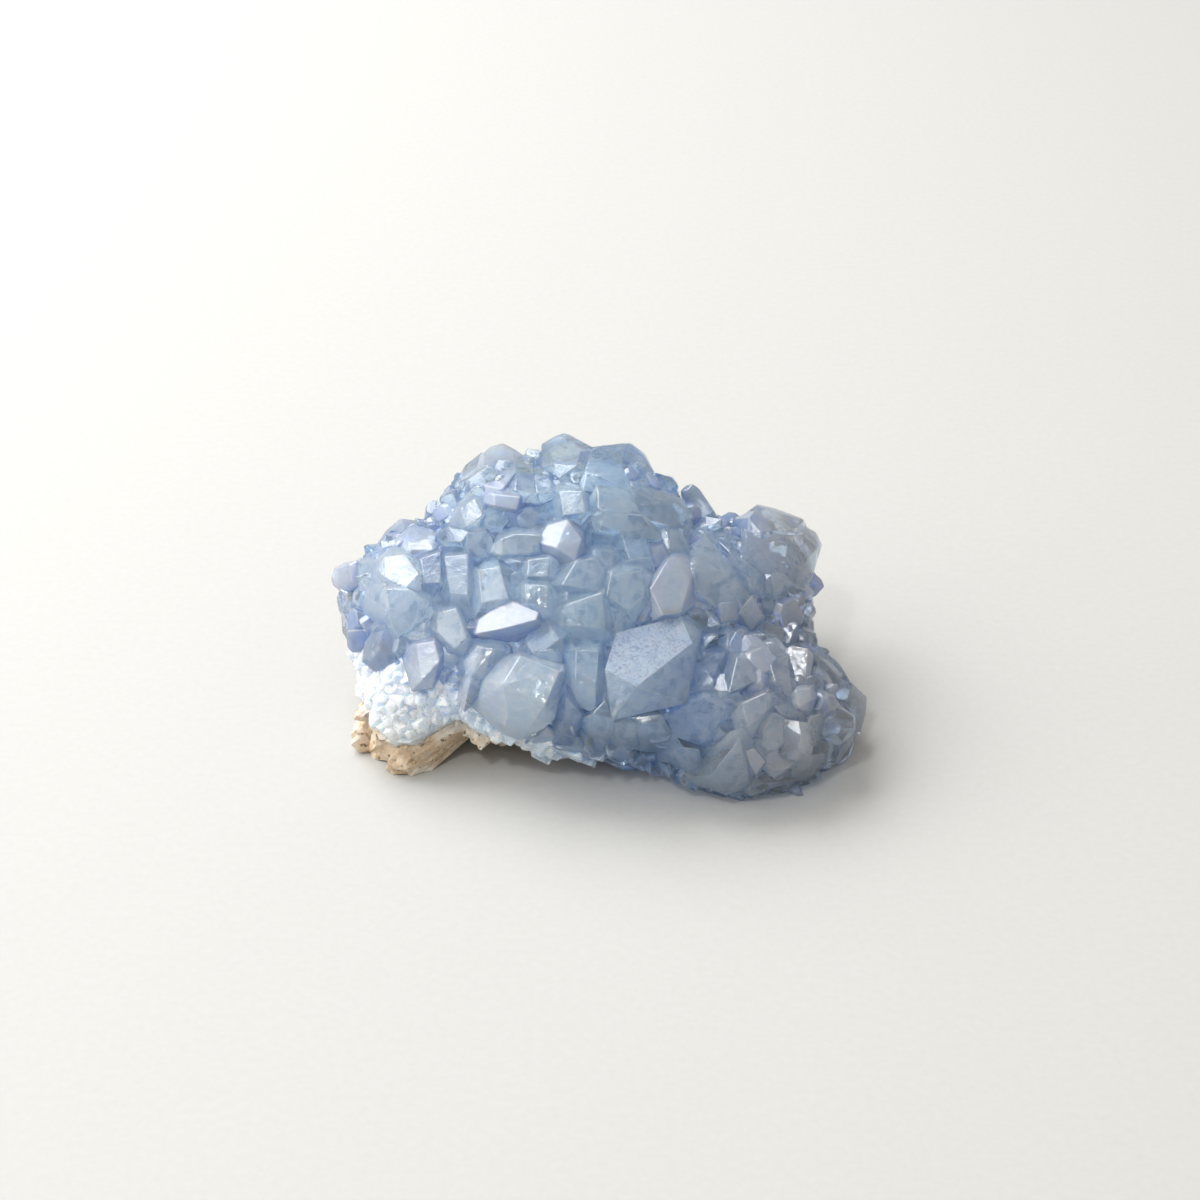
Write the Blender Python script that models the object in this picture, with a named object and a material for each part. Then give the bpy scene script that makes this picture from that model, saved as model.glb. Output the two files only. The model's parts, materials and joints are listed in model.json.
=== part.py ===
"""A celestite cluster: one crust of blocky pale blue crystals, grown together, on a curved rock.

X is to the right, Y away from the viewer and Z up. The origin is on the surface that the
specimen rests on, under its middle. Every length is in millimetres until a mesh is made.
"""

import math
import random
from itertools import combinations

import bmesh
import bpy
import numpy as np
from mathutils import Matrix, Vector, noise

MM = 0.001
SEED = 11
SHAPED_SEED = 1011

# Body: the swellings under the crystals, each a middle and its half sizes.
SWELLINGS = (
    ((-3, 2, 15), (27, 18, 13)),
    ((-14, 8, 22), (11, 10, 11)),
    ((0, 8, 23), (12, 10, 12)),
    ((-28, 2, 15), (8.5, 11, 10)),
    ((-28, -13.2, 3), (7.2, 8.4, 11)),
    ((-21, -11, 10), (9, 8, 7)),
    ((21, 7, 14), (10.5, 11, 9)),
    ((21, -15, 5), (14, 13, 10)),
    ((-28, -4, 9), (7, 9, 9)),
    ((30.5, -11, 6), (5, 8, 8)),
    ((26, -2, 5), (5, 9, 8)),
    ((1, -13, 10), (24, 12, 9)),
    ((2, 14, 8), (22, 10, 9)),
)
BLEND = 1.6  # how softly the swellings run together
ARCH = ((-4, -20, -5), (14, 16, 8.5))  # the hollow under the front edge
HEART = Vector((0, 2, 15))  # the inner point that every part of the body faces
REACH = 60  # further from the heart than any part of the body

# Crust: its lower rim, as degrees above or below the heart, every 45 degrees from the right round
# by the back, the left and the front.
RIM = (-30, -6, 4, -2, -12, -15, -36, -36)
RIM_WAVE = 6
CRUST_DEPTH = 4.5
CRUST_STEP = 0.9  # how far the crust stands out from the rock at its rim
CRUST_THINNING = 14  # degrees over which the crust thins to its rim
RIM_WIDTH = 6  # degrees over which the crust's outside dips under the rock
RIM_DIP = 4
LEAST_STEEPNESS = 0.4  # of the body's skin to a ray from the heart, where the crust's depth counts
BASE_MIDDLE = Vector((-0.3, -4.3, 0))  # moved to the origin at the end
GAP = 0.4  # between the crust and the rock, measured from the heart

# Rock: broken lumps and ledges.
ROCK_LUMP = 1.8
ROCK_LUMP_SIZE = 8
ROCK_LEDGE = 1.4
ROCK_LEDGE_SIZE = 3

# Crystals are placed on a picture plane that faces a viewer who looks down on the specimen.
EYE_HEIGHT = math.radians(32)
EYE_DISTANCE = 425
PLANE_MIDDLE = Vector((0, -2, 18))
RIGHT = Vector((1, 0, 0))
UP = Vector((0, math.sin(EYE_HEIGHT), math.cos(EYE_HEIGHT)))
TOWARD = Vector((0, -math.cos(EYE_HEIGHT), math.sin(EYE_HEIGHT)))

# The specimen's outline on the picture plane, across and up, which the fill stays within.
FRONT_OUTLINE = (
    (-40.2, 2.2), (-39.8, 4.6), (-38.0, 5.8), (-35.0, 6.6), (-32.8, 6.8), (-32.0, 9.8),
    (-30.4, 11.6), (-29.0, 12.3), (-26.2, 12.3), (-25.4, 14.4), (-22.0, 17.8), (-19.4, 21.0),
    (-17.2, 22.8), (-15.2, 23.3), (-13.2, 22.9), (-12.0, 21.8), (-10.4, 22.2), (-9.0, 23.4),
    (-5.2, 24.7), (-2.0, 22.8), (0.0, 23.1), (4.2, 23.4), (6.0, 22.4), (8.0, 19.0),
    (9.8, 17.6), (11.2, 15.8), (12.4, 17.3), (14.2, 16.4), (16.8, 13.8), (20.8, 12.0),
    (23.4, 14.2), (29.8, 12.5), (32.0, 10.5), (33.0, 8.2), (31.8, 5.6), (32.8, 3.0),
    (31.8, 0.4), (32.4, -2.2), (32.0, -3.8), (34.0, -9.6), (36.6, -11.6), (39.0, -13.4),
    (39.8, -15.0), (38.2, -20.2), (36.4, -25.0), (32.4, -25.2), (29.0, -27.6), (25.4, -29.8),
    (21.6, -29.4), (14.8, -28.4), (9.8, -26.6), (3.8, -25.4), (0.6, -23.6), (-1.4, -24.2),
    (-3.4, -22.8), (-6.0, -22.2), (-10.8, -22.6), (-16.4, -21.4), (-23.8, -23.4), (-30.2, -25.0),
    (-34.4, -22.2), (-35.8, -20.2), (-36.4, -16.8), (-35.8, -15.0), (-36.4, -12.0),
    (-37.4, -8.2), (-39.2, -3.0),
)

# Each habit is how far a crystal's faces are from its middle, as shares of its half size, with
# None for faces it hasn't got: top, prism, side, front, side slope, front slope, corner slope.
HABITS = {
    "block": (0.80, None, 0.90, 0.86, 1.06, None, 1.04),
    "slab": (0.72, 0.94, None, 0.84, 1.02, None, None),
    "wedge": (None, None, 0.92, 0.86, 0.80, None, 1.02),
    "peak": (None, 0.90, 0.95, None, None, 0.92, 0.82),
    "dome": (0.90, 0.92, None, 0.92, 0.92, None, 0.94),
}
PRISM_ANGLE = math.radians(39)
SLOPE_ANGLE = math.radians(50)
CORNER_SLOPE = (0.6, 0.5, 0.62)  # the way that a corner slope faces, for one of the four corners
UNEVEN_DISTANCE = 0.07
UNEVEN_ANGLE = 0.05
ROOT_SHARE = 0.55  # of a crystal's width, set in the crust

# The crystals whose faces can be told apart from the front: each has its outline across and up the
# picture plane, and the corners of its crown, which also rise toward the viewer from the skin.
SHAPED_CRYSTALS = (
    # Large one with the etched face
    (((0.6, -10.4), (2.4, -4.8), (12.2, -2.1), (14.5, -1.9), (15.4, -4.9), (14.5, -10.4),
      (13, -15.4), (6, -17.3), (1.8, -17.9), (1, -14.9)),
     ((0.7, -10.4, 4.3), (2.4, -4.8, 3.2), (12.1, -2.4, 4.2), (13.9, -6.4, 5.4),
      (10.6, -8.9, 5.5), (5.4, -13, 5.6))),
    # Large pale one
    (((-12.1, -7.5), (-5.4, -9.5), (-4.9, -10.6), (-6.6, -17.6), (-8.2, -19.1),
      (-11.9, -21), (-14.6, -20.1), (-19.4, -15.8), (-18.5, -11.9), (-14.6, -8.6)),
     ((-11.9, -8.3, 3.6), (-6, -10.7, 4.4), (-8.2, -15.5, 5), (-14.5, -12.5, 5.2),
      (-13.7, -16.7, 4.2))),
    # White slab
    (((-18.3, -4.6), (-17.7, -3.1), (-13.7, -0.3), (-9.8, -2.2), (-9.8, -4.3),
      (-12.7, -5.7), (-16.4, -5.7)),
     ((-17.7, -4.8, 4.4), (-17.3, -3.1, 3.4), (-13.9, -0.6, 3), (-10.1, -2.2, 4),
      (-10.4, -3.1, 4.8), (-14.6, -4.2, 5))),
    # Rounded, left of the pale one
    (((-20.7, -8.6), (-19.5, -6.1), (-16.8, -5.4), (-14.9, -6.6), (-13.9, -8.5),
      (-16.8, -11.3), (-19.7, -15.1), (-20.4, -13.4)),
     ((-18.2, -7.5, 3.4), (-16.1, -7.7, 3.6), (-18.8, -10.7, 3))),
    # Shield
    (((-5.5, -8.2), (-4.2, -6.4), (-0.3, -6.1), (0.6, -8.9), (0.7, -11.9), (-1, -15.4),
      (-3.3, -14.5), (-5.1, -11.5)),
     ((-3.3, -8, 4.4), (-0.7, -8.2, 4.4), (-1, -13.1, 3.4), (-3.4, -11.6, 3.6))),
    # Above the shield
    (((-7, -1.9), (-4.5, 0.3), (0, 1.8), (1, 0), (1, -4.8), (-0.4, -6.1), (-3.4, -5.1),
      (-6.3, -3.6)),
     ((-4, -0.9, 4.4), (-0.3, 0.4, 4.8), (0.1, -3.9, 4.2), (-3, -3.6, 4.2))),
    # Grey wedge
    (((0.9, 0), (3.3, -0.6), (5.5, -3.9), (1.8, -6), (0.6, -4.8)),
     ((1.8, -1.5, 3.2), (3.3, -2.1, 3.2), (2.4, -4.2, 2.8))),
    # Face above the hero
    (((0.3, 1.5), (0.9, 3.9), (3, 5.1), (6, 4.9), (7.5, 3), (7.3, 0.9), (6, -1.2),
      (4.6, -2.7), (3.3, -1.3), (1.2, -0.4)),
     ((2.1, 3.4, 4.6), (5.7, 3.7, 4.8), (6, 0.9, 4.2), (4.2, -0.9, 3.4), (1.6, 0.7, 4))),
    # Bright striped block
    (((7.9, 2.5), (10, 5.7), (11.5, 6.3), (13.7, 5.4), (14.3, 3.4), (14, 0.3),
      (12.1, -1.6), (8.6, -1.9)),
     ((10.4, 5.4, 4.2), (11.2, 5.5, 4.4), (13.1, 3, 4.8), (11.9, -1, 4.4), (9.8, -1.3, 4.2),
      (8.3, 1.8, 4))),
    # Serrated peak
    (((12.7, 5.7), (13.7, 7.6), (14.9, 9.2), (16.1, 9.8), (17.4, 8.5), (18.5, 5.7),
      (21.3, 1.6), (20.3, 0.1), (17.1, 0.3), (14.3, 1.8)),
     ((14.5, 4.3, 4.4), (18.2, 4.5, 4.6), (17.1, 7.2, 4.4), (15.8, 8.8, 3.4), (19.7, 1.5, 3),
      (14.9, 2.1, 3))),
    # Slab on the right crest
    (((21.3, 11.8), (22.1, 13.4), (23.4, 14.3), (26.2, 13.7), (30.1, 12.2), (30.8, 11),
      (28.3, 9.5), (24.4, 9.5), (22.1, 10.4)),
     ((22.7, 12.8, 3), (23.8, 13.6, 2.8), (29.4, 11.9, 3.2), (28.3, 10.4, 4), (24.1, 10.7, 4))),
    # Large one on the right crest
    (((22.7, 9.8), (26.8, 10.1), (30.7, 11), (32.2, 10.1), (33.1, 8.2), (32.5, 6.3),
      (30.7, 3.6), (28.9, 2.1), (26.4, 3.9), (24.1, 4.8), (22.7, 6.6)),
     ((24.6, 8.5, 4.2), (29.8, 9.2, 4.4), (31.6, 7.7, 4), (29.2, 4.5, 3.8), (25.6, 6.3, 4.4))),
    # Beside the serrated peak
    (((18.2, 8.2), (20.1, 7.7), (23.5, 5.1), (25.3, 3), (23.8, 1.2), (21.6, 1.2),
      (19.4, 3.7)),
     ((19.7, 6.7, 3.4), (23.1, 4.2, 3.8), (22.7, 2.4, 3.4))),
    # Under the large right one
    (((24.1, 3.7), (26.8, 4.5), (28.9, 2.1), (26.5, 0.3), (25, 0.4), (23.8, 1.5)),
     ((25.6, 3.4, 3.4), (27.4, 2.7, 3.2), (25.9, 1.2, 2.8))),
    # Left of a pair on the right
    (((17.3, -1.5), (18.2, 0.1), (20.6, 0.1), (21, -2.7), (19.1, -3.9), (17.9, -4.2),
      (17.4, -3)),
     ((18, -0.9, 3.8), (20.1, -0.6, 4), (20, -2.7, 3.6), (18.2, -3.1, 3.4))),
    # Right of a pair on the right
    (((20.7, -1), (22.7, 0.4), (23.8, -0.9), (24.7, -2.7), (23.8, -4.2), (22.1, -4.9),
      (20.9, -3.9)),
     ((22.7, -0.1, 4), (24, -2.4, 4.4), (22.5, -4.2, 3.4), (21.2, -1.8, 4.2))),
    # Below the pair
    (((17.9, -6), (18.9, -4.2), (21.2, -3.7), (22.2, -4.9), (21.9, -7.5), (20.1, -8.3),
      (18.6, -7.5)),
     ((19.2, -4.9, 3.6), (21.2, -4.6, 3.8), (21.2, -7.2, 3.4), (19.2, -6.9, 3.2))),
    # Steep face under the pair
    (((19.1, -8.3), (21.6, -8), (23.5, -11.9), (20.7, -13.4), (18.2, -14.6),
      (17.9, -13.4), (18.6, -10.1)),
     ((20.3, -9.1, 4.2), (21.9, -9.5, 4.2), (22.7, -11.8, 4), (19.4, -13.3, 3.4))),
    # Upright on the right
    (((24.3, -10.4), (25.2, -8.5), (28, -8), (28.6, -11.2), (28.3, -13.9), (26.7, -13.1),
      (25, -12.5)),
     ((25.5, -9.5, 3.8), (27.7, -8.8, 4), (28, -11.9, 3.2), (26.2, -11.9, 3.4))),
    # Striped blue one
    (((20, -17.3), (20.6, -15.5), (22.7, -14.3), (24.7, -13.4), (25.8, -15.2),
      (24.7, -17.3), (22.7, -19.7), (20.9, -19.2)),
     ((21.5, -15.6, 3.8), (24.4, -14.3, 4.2), (24.3, -16.7, 4), (22.1, -18.3, 3.4))),
    # White, right
    (((28.2, -14.5), (29.7, -13), (31.6, -13), (32.3, -14.6), (30.8, -16.8), (29.1, -16.2)),
     ((29.4, -13.7, 3.6), (31.1, -13.4, 3.6), (31, -14.9, 3.8), (29.8, -15.8, 3.4))),
    # Bright tip, right
    (((34.1, -15.6), (35, -14.6), (36.2, -16.1), (36.2, -17.3), (35, -18.3), (34.1, -17.1)),
     ((34.9, -15.4, 3), (35.9, -16.5, 3.2), (34.9, -17.6, 2.8))),
    # Lobe, right
    (((30.3, -18.2), (31.6, -16.7), (32.8, -16.4), (33.4, -18.2), (32.6, -20), (31, -20.4)),
     ((31.4, -17.6, 3.4), (32.6, -17.3, 3.4), (32.2, -19.4, 3))),
    # Far right mass
    (((33.1, -9.5), (34.6, -9.5), (37.6, -12.2), (39.8, -14.5), (39.6, -17), (38.9, -19.7),
      (37, -21.5), (35.2, -19.4), (34.6, -14.9)),
     ((35.5, -11.9, 2.4), (38.2, -14.9, 2.6), (37.6, -18.5, 2.4))),
    # Far right foot
    (((33.1, -23.2), (35.5, -21.2), (37.9, -21.2), (37.3, -24.7), (34.9, -25.5),
      (32.8, -25)),
     ((34.3, -23.2, 2.2), (36.7, -22.4, 2.2), (35.8, -24.4, 1.8))),
    # Lower right
    (((28.3, -24.7), (29.2, -22.8), (32, -22.4), (33.4, -23.4), (32.2, -26.2), (30.6, -27),
      (28.9, -26.4)),
     ((29.8, -23.5, 3), (32.2, -23.4, 3), (31, -25.6, 2.4))),
    # Bottom right foot
    (((21.2, -29.1), (22.1, -26.8), (26.1, -26.4), (28.5, -27.1), (27.7, -28.6),
      (25, -29.7), (22.4, -29.8)),
     ((23.2, -27.6, 2.4), (26.8, -27.3, 2.4), (25, -28.8, 1.8))),
    # Bottom peak
    (((13.3, -26.4), (15.4, -24.1), (19.1, -20.9), (20.6, -20.3), (21.9, -21.8),
      (22.4, -24.7), (21.5, -27.1), (20.6, -28.6), (18.5, -28.8), (15.2, -27.7)),
     ((20.4, -21.6, 3.6), (21.2, -25.3, 4.6), (17.1, -25.8, 5), (18.9, -28.2, 3),
      (14.8, -26.4, 2.8))),
    # Bright beside the bottom peak
    (((21.5, -22.7), (23, -22.2), (24.6, -24.1), (23.4, -26.1), (22.7, -25.9)),
     ((21.9, -22.8, 3.8), (23, -22.5, 3.6), (24.3, -24.1, 3.8), (23.2, -25.6, 3.8),
      (22.4, -24.4, 4.2))),
    # Big dull face
    (((6.7, -18.2), (10.1, -15.5), (14.9, -13.3), (18.2, -13.7), (20.3, -15.8),
      (20, -18.8), (17.9, -21.3), (13.4, -22.4), (8.9, -22.1), (6.7, -20.6)),
     ((9.5, -17.6, 2), (15.4, -14.6, 2.6), (18.5, -16.1, 2.6), (16.7, -20.3, 2.2),
      (10.1, -20.6, 1.8))),
    # Left crest
    (((-18, 21.3), (-16.5, 22.8), (-14.5, 23.4), (-12.7, 22.5), (-11.9, 21),
      (-12.5, 18.8), (-14.2, 16.5), (-16.8, 16.2), (-17.9, 18.6)),
     ((-16.8, 21.6, 2.6), (-13.4, 21.6, 2.8), (-13.1, 19.2, 3.8), (-14.6, 17.3, 3.6),
      (-16.8, 17.7, 3.6))),
    # Left of the crest
    (((-21.2, 18.2), (-20.1, 20.1), (-17.9, 21.2), (-16.4, 19.7), (-16.8, 16.4),
      (-19.4, 15.4), (-21.2, 16.4)),
     ((-20, 18.6, 2.8), (-18, 19.7, 3), (-17.9, 17, 3.4), (-19.8, 16.7, 3.2))),
    # Pale leaf
    (((-17.3, 14.6), (-15.8, 16.2), (-13.1, 16.7), (-11.6, 15.4), (-11.8, 13.9),
      (-12.2, 13), (-14.5, 13.3), (-16.4, 13.6)),
     ((-15.5, 15.5, 3.6), (-12.4, 15.2, 4), (-12.8, 13.7, 3.6), (-15.4, 14.2, 3.6))),
    # Right of the left crest
    (((-13.1, 18.5), (-12.2, 20.6), (-10.3, 20.4), (-9.2, 18.2), (-9.1, 15.4),
      (-11.8, 15.2), (-13.7, 16.7)),
     ((-12.1, 19.4, 3), (-10.4, 19.4, 3.2), (-10.1, 16.4, 3.6), (-12.4, 16.7, 3.4))),
    # Middle crest
    (((-8.8, 23.2), (-7, 24.3), (-5.4, 24.9), (-4.3, 24.6), (-2.1, 22.7), (-2.8, 20),
      (-6, 19.1), (-8, 20.6)),
     ((-7.2, 23.2, 2.2), (-5.1, 24, 2.2), (-3.3, 22.4, 2.8), (-4, 20.4, 3.4), (-6.6, 20.7, 3.2))),
    # Dark crest
    (((-2.8, 18.8), (-1.8, 22.7), (0.6, 23.1), (2.8, 22.1), (3.3, 19.7), (3.9, 16.8),
      (0.7, 17.9), (-1.8, 17)),
     ((-0.9, 21.8, 2.2), (1.8, 21.5, 2.4), (2.5, 19.1, 3.2), (0.1, 18.8, 3.6), (-1.6, 19.1, 3.2))),
    # Dark right crest
    (((1.8, 22.4), (3, 23.4), (4.6, 23.4), (6.7, 21.8), (7.5, 20.3), (7.9, 18.5),
      (7, 16.2), (4.5, 16.4), (3, 19.1)),
     ((3.6, 22.5, 2.2), (6.3, 21, 2.6), (6.7, 18.5, 3.4), (4.9, 17.6, 3.6), (3.6, 20, 3))),
    # Long slab
    (((0, 14.8), (0.9, 16.5), (3, 16.7), (7.2, 16.1), (10.9, 14.8), (11.9, 12.7),
      (10.1, 9.5), (8.2, 10.4), (3.7, 13.1), (0.3, 12.8)),
     ((0.9, 15.5, 3.2), (3.3, 15.9, 3.2), (10, 14.3, 3.4), (9.2, 11.6, 4), (3.6, 13.9, 4.4),
      (0.9, 13.7, 3.8))),
    # Rounded under the long slab
    (((0, 11.9), (1.8, 13.4), (6, 13.1), (8.2, 11.5), (9.4, 9.4), (8.5, 8.2), (6.7, 8.8),
      (3, 10.6), (0.4, 10.3)),
     ((1.8, 12.7, 4.2), (6, 12.2, 4.8), (8.3, 9.4, 3.8), (6.7, 9.5, 3.8), (1.2, 11, 3.6))),
    # Dark block
    (((2.5, 10), (3.1, 10.6), (6.3, 10.4), (7.5, 6.7), (7.7, 4.2), (6, 5.7), (3.9, 5.4),
      (2.4, 7.7)),
     ((3.4, 10, 4.4), (6.1, 9.8, 4.6), (7, 6.6, 4), (4.5, 6.3, 3.8))),
    # White one in the middle
    (((-9.5, 8.5), (-8.8, 9.7), (-7, 11.3), (-5.1, 11.9), (-3.1, 10.4), (-2.8, 7),
      (-4.6, 5.1), (-6, 5.1), (-8.2, 7)),
     ((-7.5, 10.6, 4.2), (-5.1, 11.3, 4.6), (-3.4, 8.9, 4.8), (-4.2, 6.4, 4.2),
      (-6.4, 7.9, 5.4), (-8.8, 8.6, 3.8))),
    # Large left-leaning block
    (((-7, 2.5), (-5.7, 4.8), (-3.4, 6), (-1.2, 6.4), (0.3, 4.3), (0.1, 1.9), (-1.5, 0.9),
      (-4.8, 1.2)),
     ((-3.4, 5.4, 4.6), (-1.2, 5.7, 4.8), (-0.3, 4.2, 4.8), (-1.3, 1.8, 4.2), (-5.1, 2.5, 4.4))),
    # Pale, middle
    (((-11.8, 5.1), (-10.4, 6.4), (-8, 6.7), (-5.8, 5.5), (-7, 3.4), (-8.2, 2.5),
      (-10.9, 3)),
     ((-10.3, 5.7, 4), (-7.7, 6, 4.2), (-8, 3.7, 3.8), (-10.4, 3.9, 3.8))),
    # Round, middle
    (((-2.1, 6.1), (-1.3, 7.7), (0.7, 8.3), (2.2, 7.6), (3.1, 6), (2.7, 4), (0.4, 3.6),
      (-1.5, 4.8)),
     ((-0.6, 7.2, 4), (1.6, 7, 4.2), (1.6, 4.8, 3.6), (-0.6, 5.1, 3.6))),
    # Pale with a streak
    (((-16.4, 7.6), (-14.6, 9.7), (-13, 10.4), (-8.9, 10.1), (-9.2, 7.2), (-12.2, 6.3),
      (-14.9, 6.1)),
     ((-14.3, 8.9, 3.8), (-12.7, 9.5, 4), (-9.7, 9.4, 4.4), (-10.4, 7.3, 4), (-14.3, 7, 3.4))),
    # Deep blue
    (((-25, 9.4), (-23.8, 10.3), (-22.5, 11.2), (-19.7, 10.4), (-19.2, 8.8), (-20.4, 7.5),
      (-22.8, 7.5), (-23.7, 8.9)),
     ((-23.7, 9.7, 3.6), (-22.5, 10.6, 4), (-20.1, 10, 4), (-20.9, 8.8, 4.4), (-23.2, 8.8, 4.2))),
    # Tall blue
    (((-23.7, 5.7), (-21.6, 7.3), (-19.4, 6.7), (-18.8, 1.5), (-19.7, -1.6), (-22.1, -0.9),
      (-23.5, 1.5)),
     ((-22.8, 5.7, 4.6), (-20, 6, 5), (-20, 1.2, 4.2), (-22.1, 1.5, 4.2))),
    # Blue block, left
    (((-27.3, 6), (-25.3, 7.3), (-23.7, 7.6), (-23.4, 2.2), (-25.2, 1.2), (-26.8, 2.7)),
     ((-26.4, 5.8, 3.6), (-24.1, 6.6, 4), (-24.1, 3, 4), (-25.9, 3, 3.6))),
    # Round, left
    (((-33.4, 5.1), (-32.6, 6.4), (-30.8, 7.2), (-29.1, 7), (-27.4, 5.7), (-26.7, 3.7),
      (-27.4, 1.9), (-30.3, 1.3), (-32.2, 2.8)),
     ((-31.7, 6, 3.2), (-29.2, 6.3, 3.6), (-27.6, 4, 3.8), (-29.1, 2.4, 3.4), (-31.6, 3.6, 3.4))),
    # Clear, far left
    (((-37, 4.3), (-36.5, 5.7), (-35.3, 6.4), (-33.5, 5.7), (-32, 4), (-31.9, 2.7),
      (-33.7, 0.9), (-35.6, 0.6), (-36.8, 2.2)),
     ((-35.8, 5.2, 3), (-33.7, 4.9, 3.4), (-32.8, 3.3, 3.4), (-34.7, 1.6, 2.8),
      (-36.2, 3.1, 2.8))),
    # Clear, left end
    (((-40.1, 3.3), (-39.6, 4.8), (-38, 5.7), (-36.7, 5.4), (-36.7, 2.4), (-38.3, 1.5),
      (-39.8, 2.1)),
     ((-39, 4.5, 2.4), (-37.6, 4.9, 2.6), (-37.3, 3, 2.4), (-38.7, 2.7, 2.2))),
    # Large on the left
    (((-32.2, 0.6), (-31.3, 1.9), (-29.2, 1.5), (-26.1, 0.3), (-25.2, -2.7),
      (-26.8, -3.3), (-29.1, -5.1), (-30.3, -6.1), (-31.1, -5.1)),
     ((-31.3, 0.9, 4), (-28.6, 0.9, 4.6), (-26.2, -0.6, 4.8), (-26.8, -2.4, 4.4),
      (-29.8, -4.8, 3.4), (-30.7, -3.3, 3.8))),
    # Beside the large left one
    (((-35, 0), (-34.6, 1.6), (-32.2, 3.1), (-31.3, 1.5), (-31.1, -2.7), (-33.4, -2.7),
      (-34.9, -1.6)),
     ((-34, 0.9, 3.2), (-32.3, 1.8, 3.4), (-32, -1.5, 3), (-33.8, -1.2, 2.8))),
    # Clear blue, left
    (((-26.1, -3.6), (-23.8, -1.6), (-21.5, -1), (-20.3, -3), (-19.5, -6), (-20.4, -7.6),
      (-22.2, -7.7), (-24.1, -6)),
     ((-23.7, -2.4, 4.4), (-21.5, -1.9, 4.8), (-20.3, -5.4, 4), (-21.8, -6.7, 3.4),
      (-23.8, -4.8, 4))),
    # Pale, lower left
    (((-29.2, -7.3), (-27, -6), (-25.2, -5.4), (-23.4, -7.2), (-23.7, -9.2),
      (-25.2, -12.1), (-27.7, -12.5), (-28.6, -9.2)),
     ((-27.1, -7, 3.4), (-25, -6.7, 3.6), (-24.4, -8.9, 3.4), (-26.5, -11.2, 2.8))),
    # Pale, upper left
    (((-29.8, 8.9), (-27.9, 10.6), (-25.3, 10.7), (-23.7, 8.9), (-24.7, 7), (-27.6, 6.4),
      (-29.4, 7.2)),
     ((-28.2, 9.5, 2.8), (-25.3, 9.7, 3.2), (-25.3, 7.7, 3.4), (-28, 7.7, 3.2))),
    # White, far left crest
    (((-33.4, 8.2), (-31.9, 10.4), (-29.7, 12.2), (-27.6, 11.9), (-28.3, 9.7),
      (-29.8, 7.7), (-32, 6.7)),
     ((-31.7, 8.9, 2.2), (-29.5, 10.9, 2.2), (-29.5, 8.8, 2.8), (-31.4, 7.6, 2.6))),
    # Pale, above the tall blue
    (((-22.1, 11.3), (-21.2, 13.7), (-19.4, 15.5), (-17.6, 14.9), (-17.3, 12.4),
      (-18.8, 10.4), (-20.9, 10.3)),
     ((-20.7, 13.4, 3.2), (-18.9, 14.5, 3.4), (-18, 12.5, 3.8), (-19.8, 11.3, 3.6))),
    # Above the face
    (((-6.6, 16.4), (-4.5, 17.4), (-2.2, 16.7), (-1.5, 13.7), (-3.3, 11.8), (-6, 12.2),
      (-7, 14.2)),
     ((-5.7, 15.9, 3.2), (-3.1, 15.9, 3.6), (-2.7, 13.4, 3.8), (-5.2, 13.1, 3.6))),
    # Blue, middle
    (((-19.4, 1.2), (-18.5, 4.5), (-15.6, 5.5), (-13.1, 3.7), (-12.8, 0.3), (-14.9, -1.5),
      (-18.2, -1.8)),
     ((-17.7, 3.9, 4.2), (-15.2, 4.3, 4.4), (-14.2, 0.6, 4), (-17.3, 0, 3.8))),
    # Pale blue, middle
    (((-12.7, 1.5), (-10.7, 3), (-7.7, 2.5), (-6.6, 0.3), (-8, -2.7), (-10.4, -1.8),
      (-12.4, -0.6)),
     ((-10.9, 1.9, 4.4), (-8.2, 1.8, 4.6), (-8.2, -0.9, 4), (-10.7, -0.4, 4))),
    # Beside the hero, right
    (((14.9, -7.5), (18.8, -7.5), (19.1, -9.5), (17.3, -11.9), (14.9, -11.9)),
     ((15.8, -8.2, 2.6), (18.2, -8.3, 2.8), (17, -10.7, 2.4))),
    # Column left of the hero
    (((-5.1, -13.4), (-3, -14.9), (-2.2, -17.3), (-4.2, -20.9), (-6.6, -20.6),
      (-6.6, -17.3)),
     ((-4.9, -15.2, 3), (-3.3, -17, 2.8), (-5.4, -19.7, 2.2))),
    # Blade under the hero
    (((-2.2, -18.2), (0.6, -16.1), (2.7, -18.2), (1.8, -21.2), (0, -23.5), (-2.1, -23.5)),
     ((-0.9, -17.6, 3.2), (1.5, -18.2, 3.4), (0.6, -21.2, 2.8), (-1.2, -22.1, 2.4))),
    # Second blade
    (((1.2, -18.5), (3.3, -17.7), (6, -17.9), (5.8, -21.5), (3.6, -24.7), (0.6, -23.5)),
     ((2.4, -18.8, 3), (5.1, -18.8, 3.2), (4.6, -21.5, 2.6), (2.7, -22.4, 2.2))),
    # Third blade
    (((5.1, -18.5), (8.6, -18.2), (10.4, -21.2), (8.3, -24.7), (6, -25.5), (3.6, -24.1)),
     ((6.3, -19.1, 2.8), (8.3, -19.1, 2.8), (8.6, -21.8, 2.4), (6.3, -23, 2.2))),
    # Fourth blade
    (((8.6, -22.7), (11.3, -21.2), (14, -22.7), (14.3, -25.3), (11.9, -26.7), (8.3, -25.6)),
     ((10, -23.1, 2.8), (12.2, -22.4, 3), (13.1, -24.4, 2.6), (10.7, -25, 2.2))),
    # Grey, over the arch
    (((-0.3, -22.7), (2.4, -22.4), (4.5, -24.4), (6, -25.9), (3.3, -25.3), (0.6, -24.1)),
     ((1.2, -23.1, 2.2), (3.3, -24.4, 2.2), (2.1, -23.8, 2.4))),
    # Grey, over the foot
    (((10.1, -25.6), (13.7, -25), (15.8, -27.1), (16.7, -28), (14.6, -28.2), (10.7, -26.8)),
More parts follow.
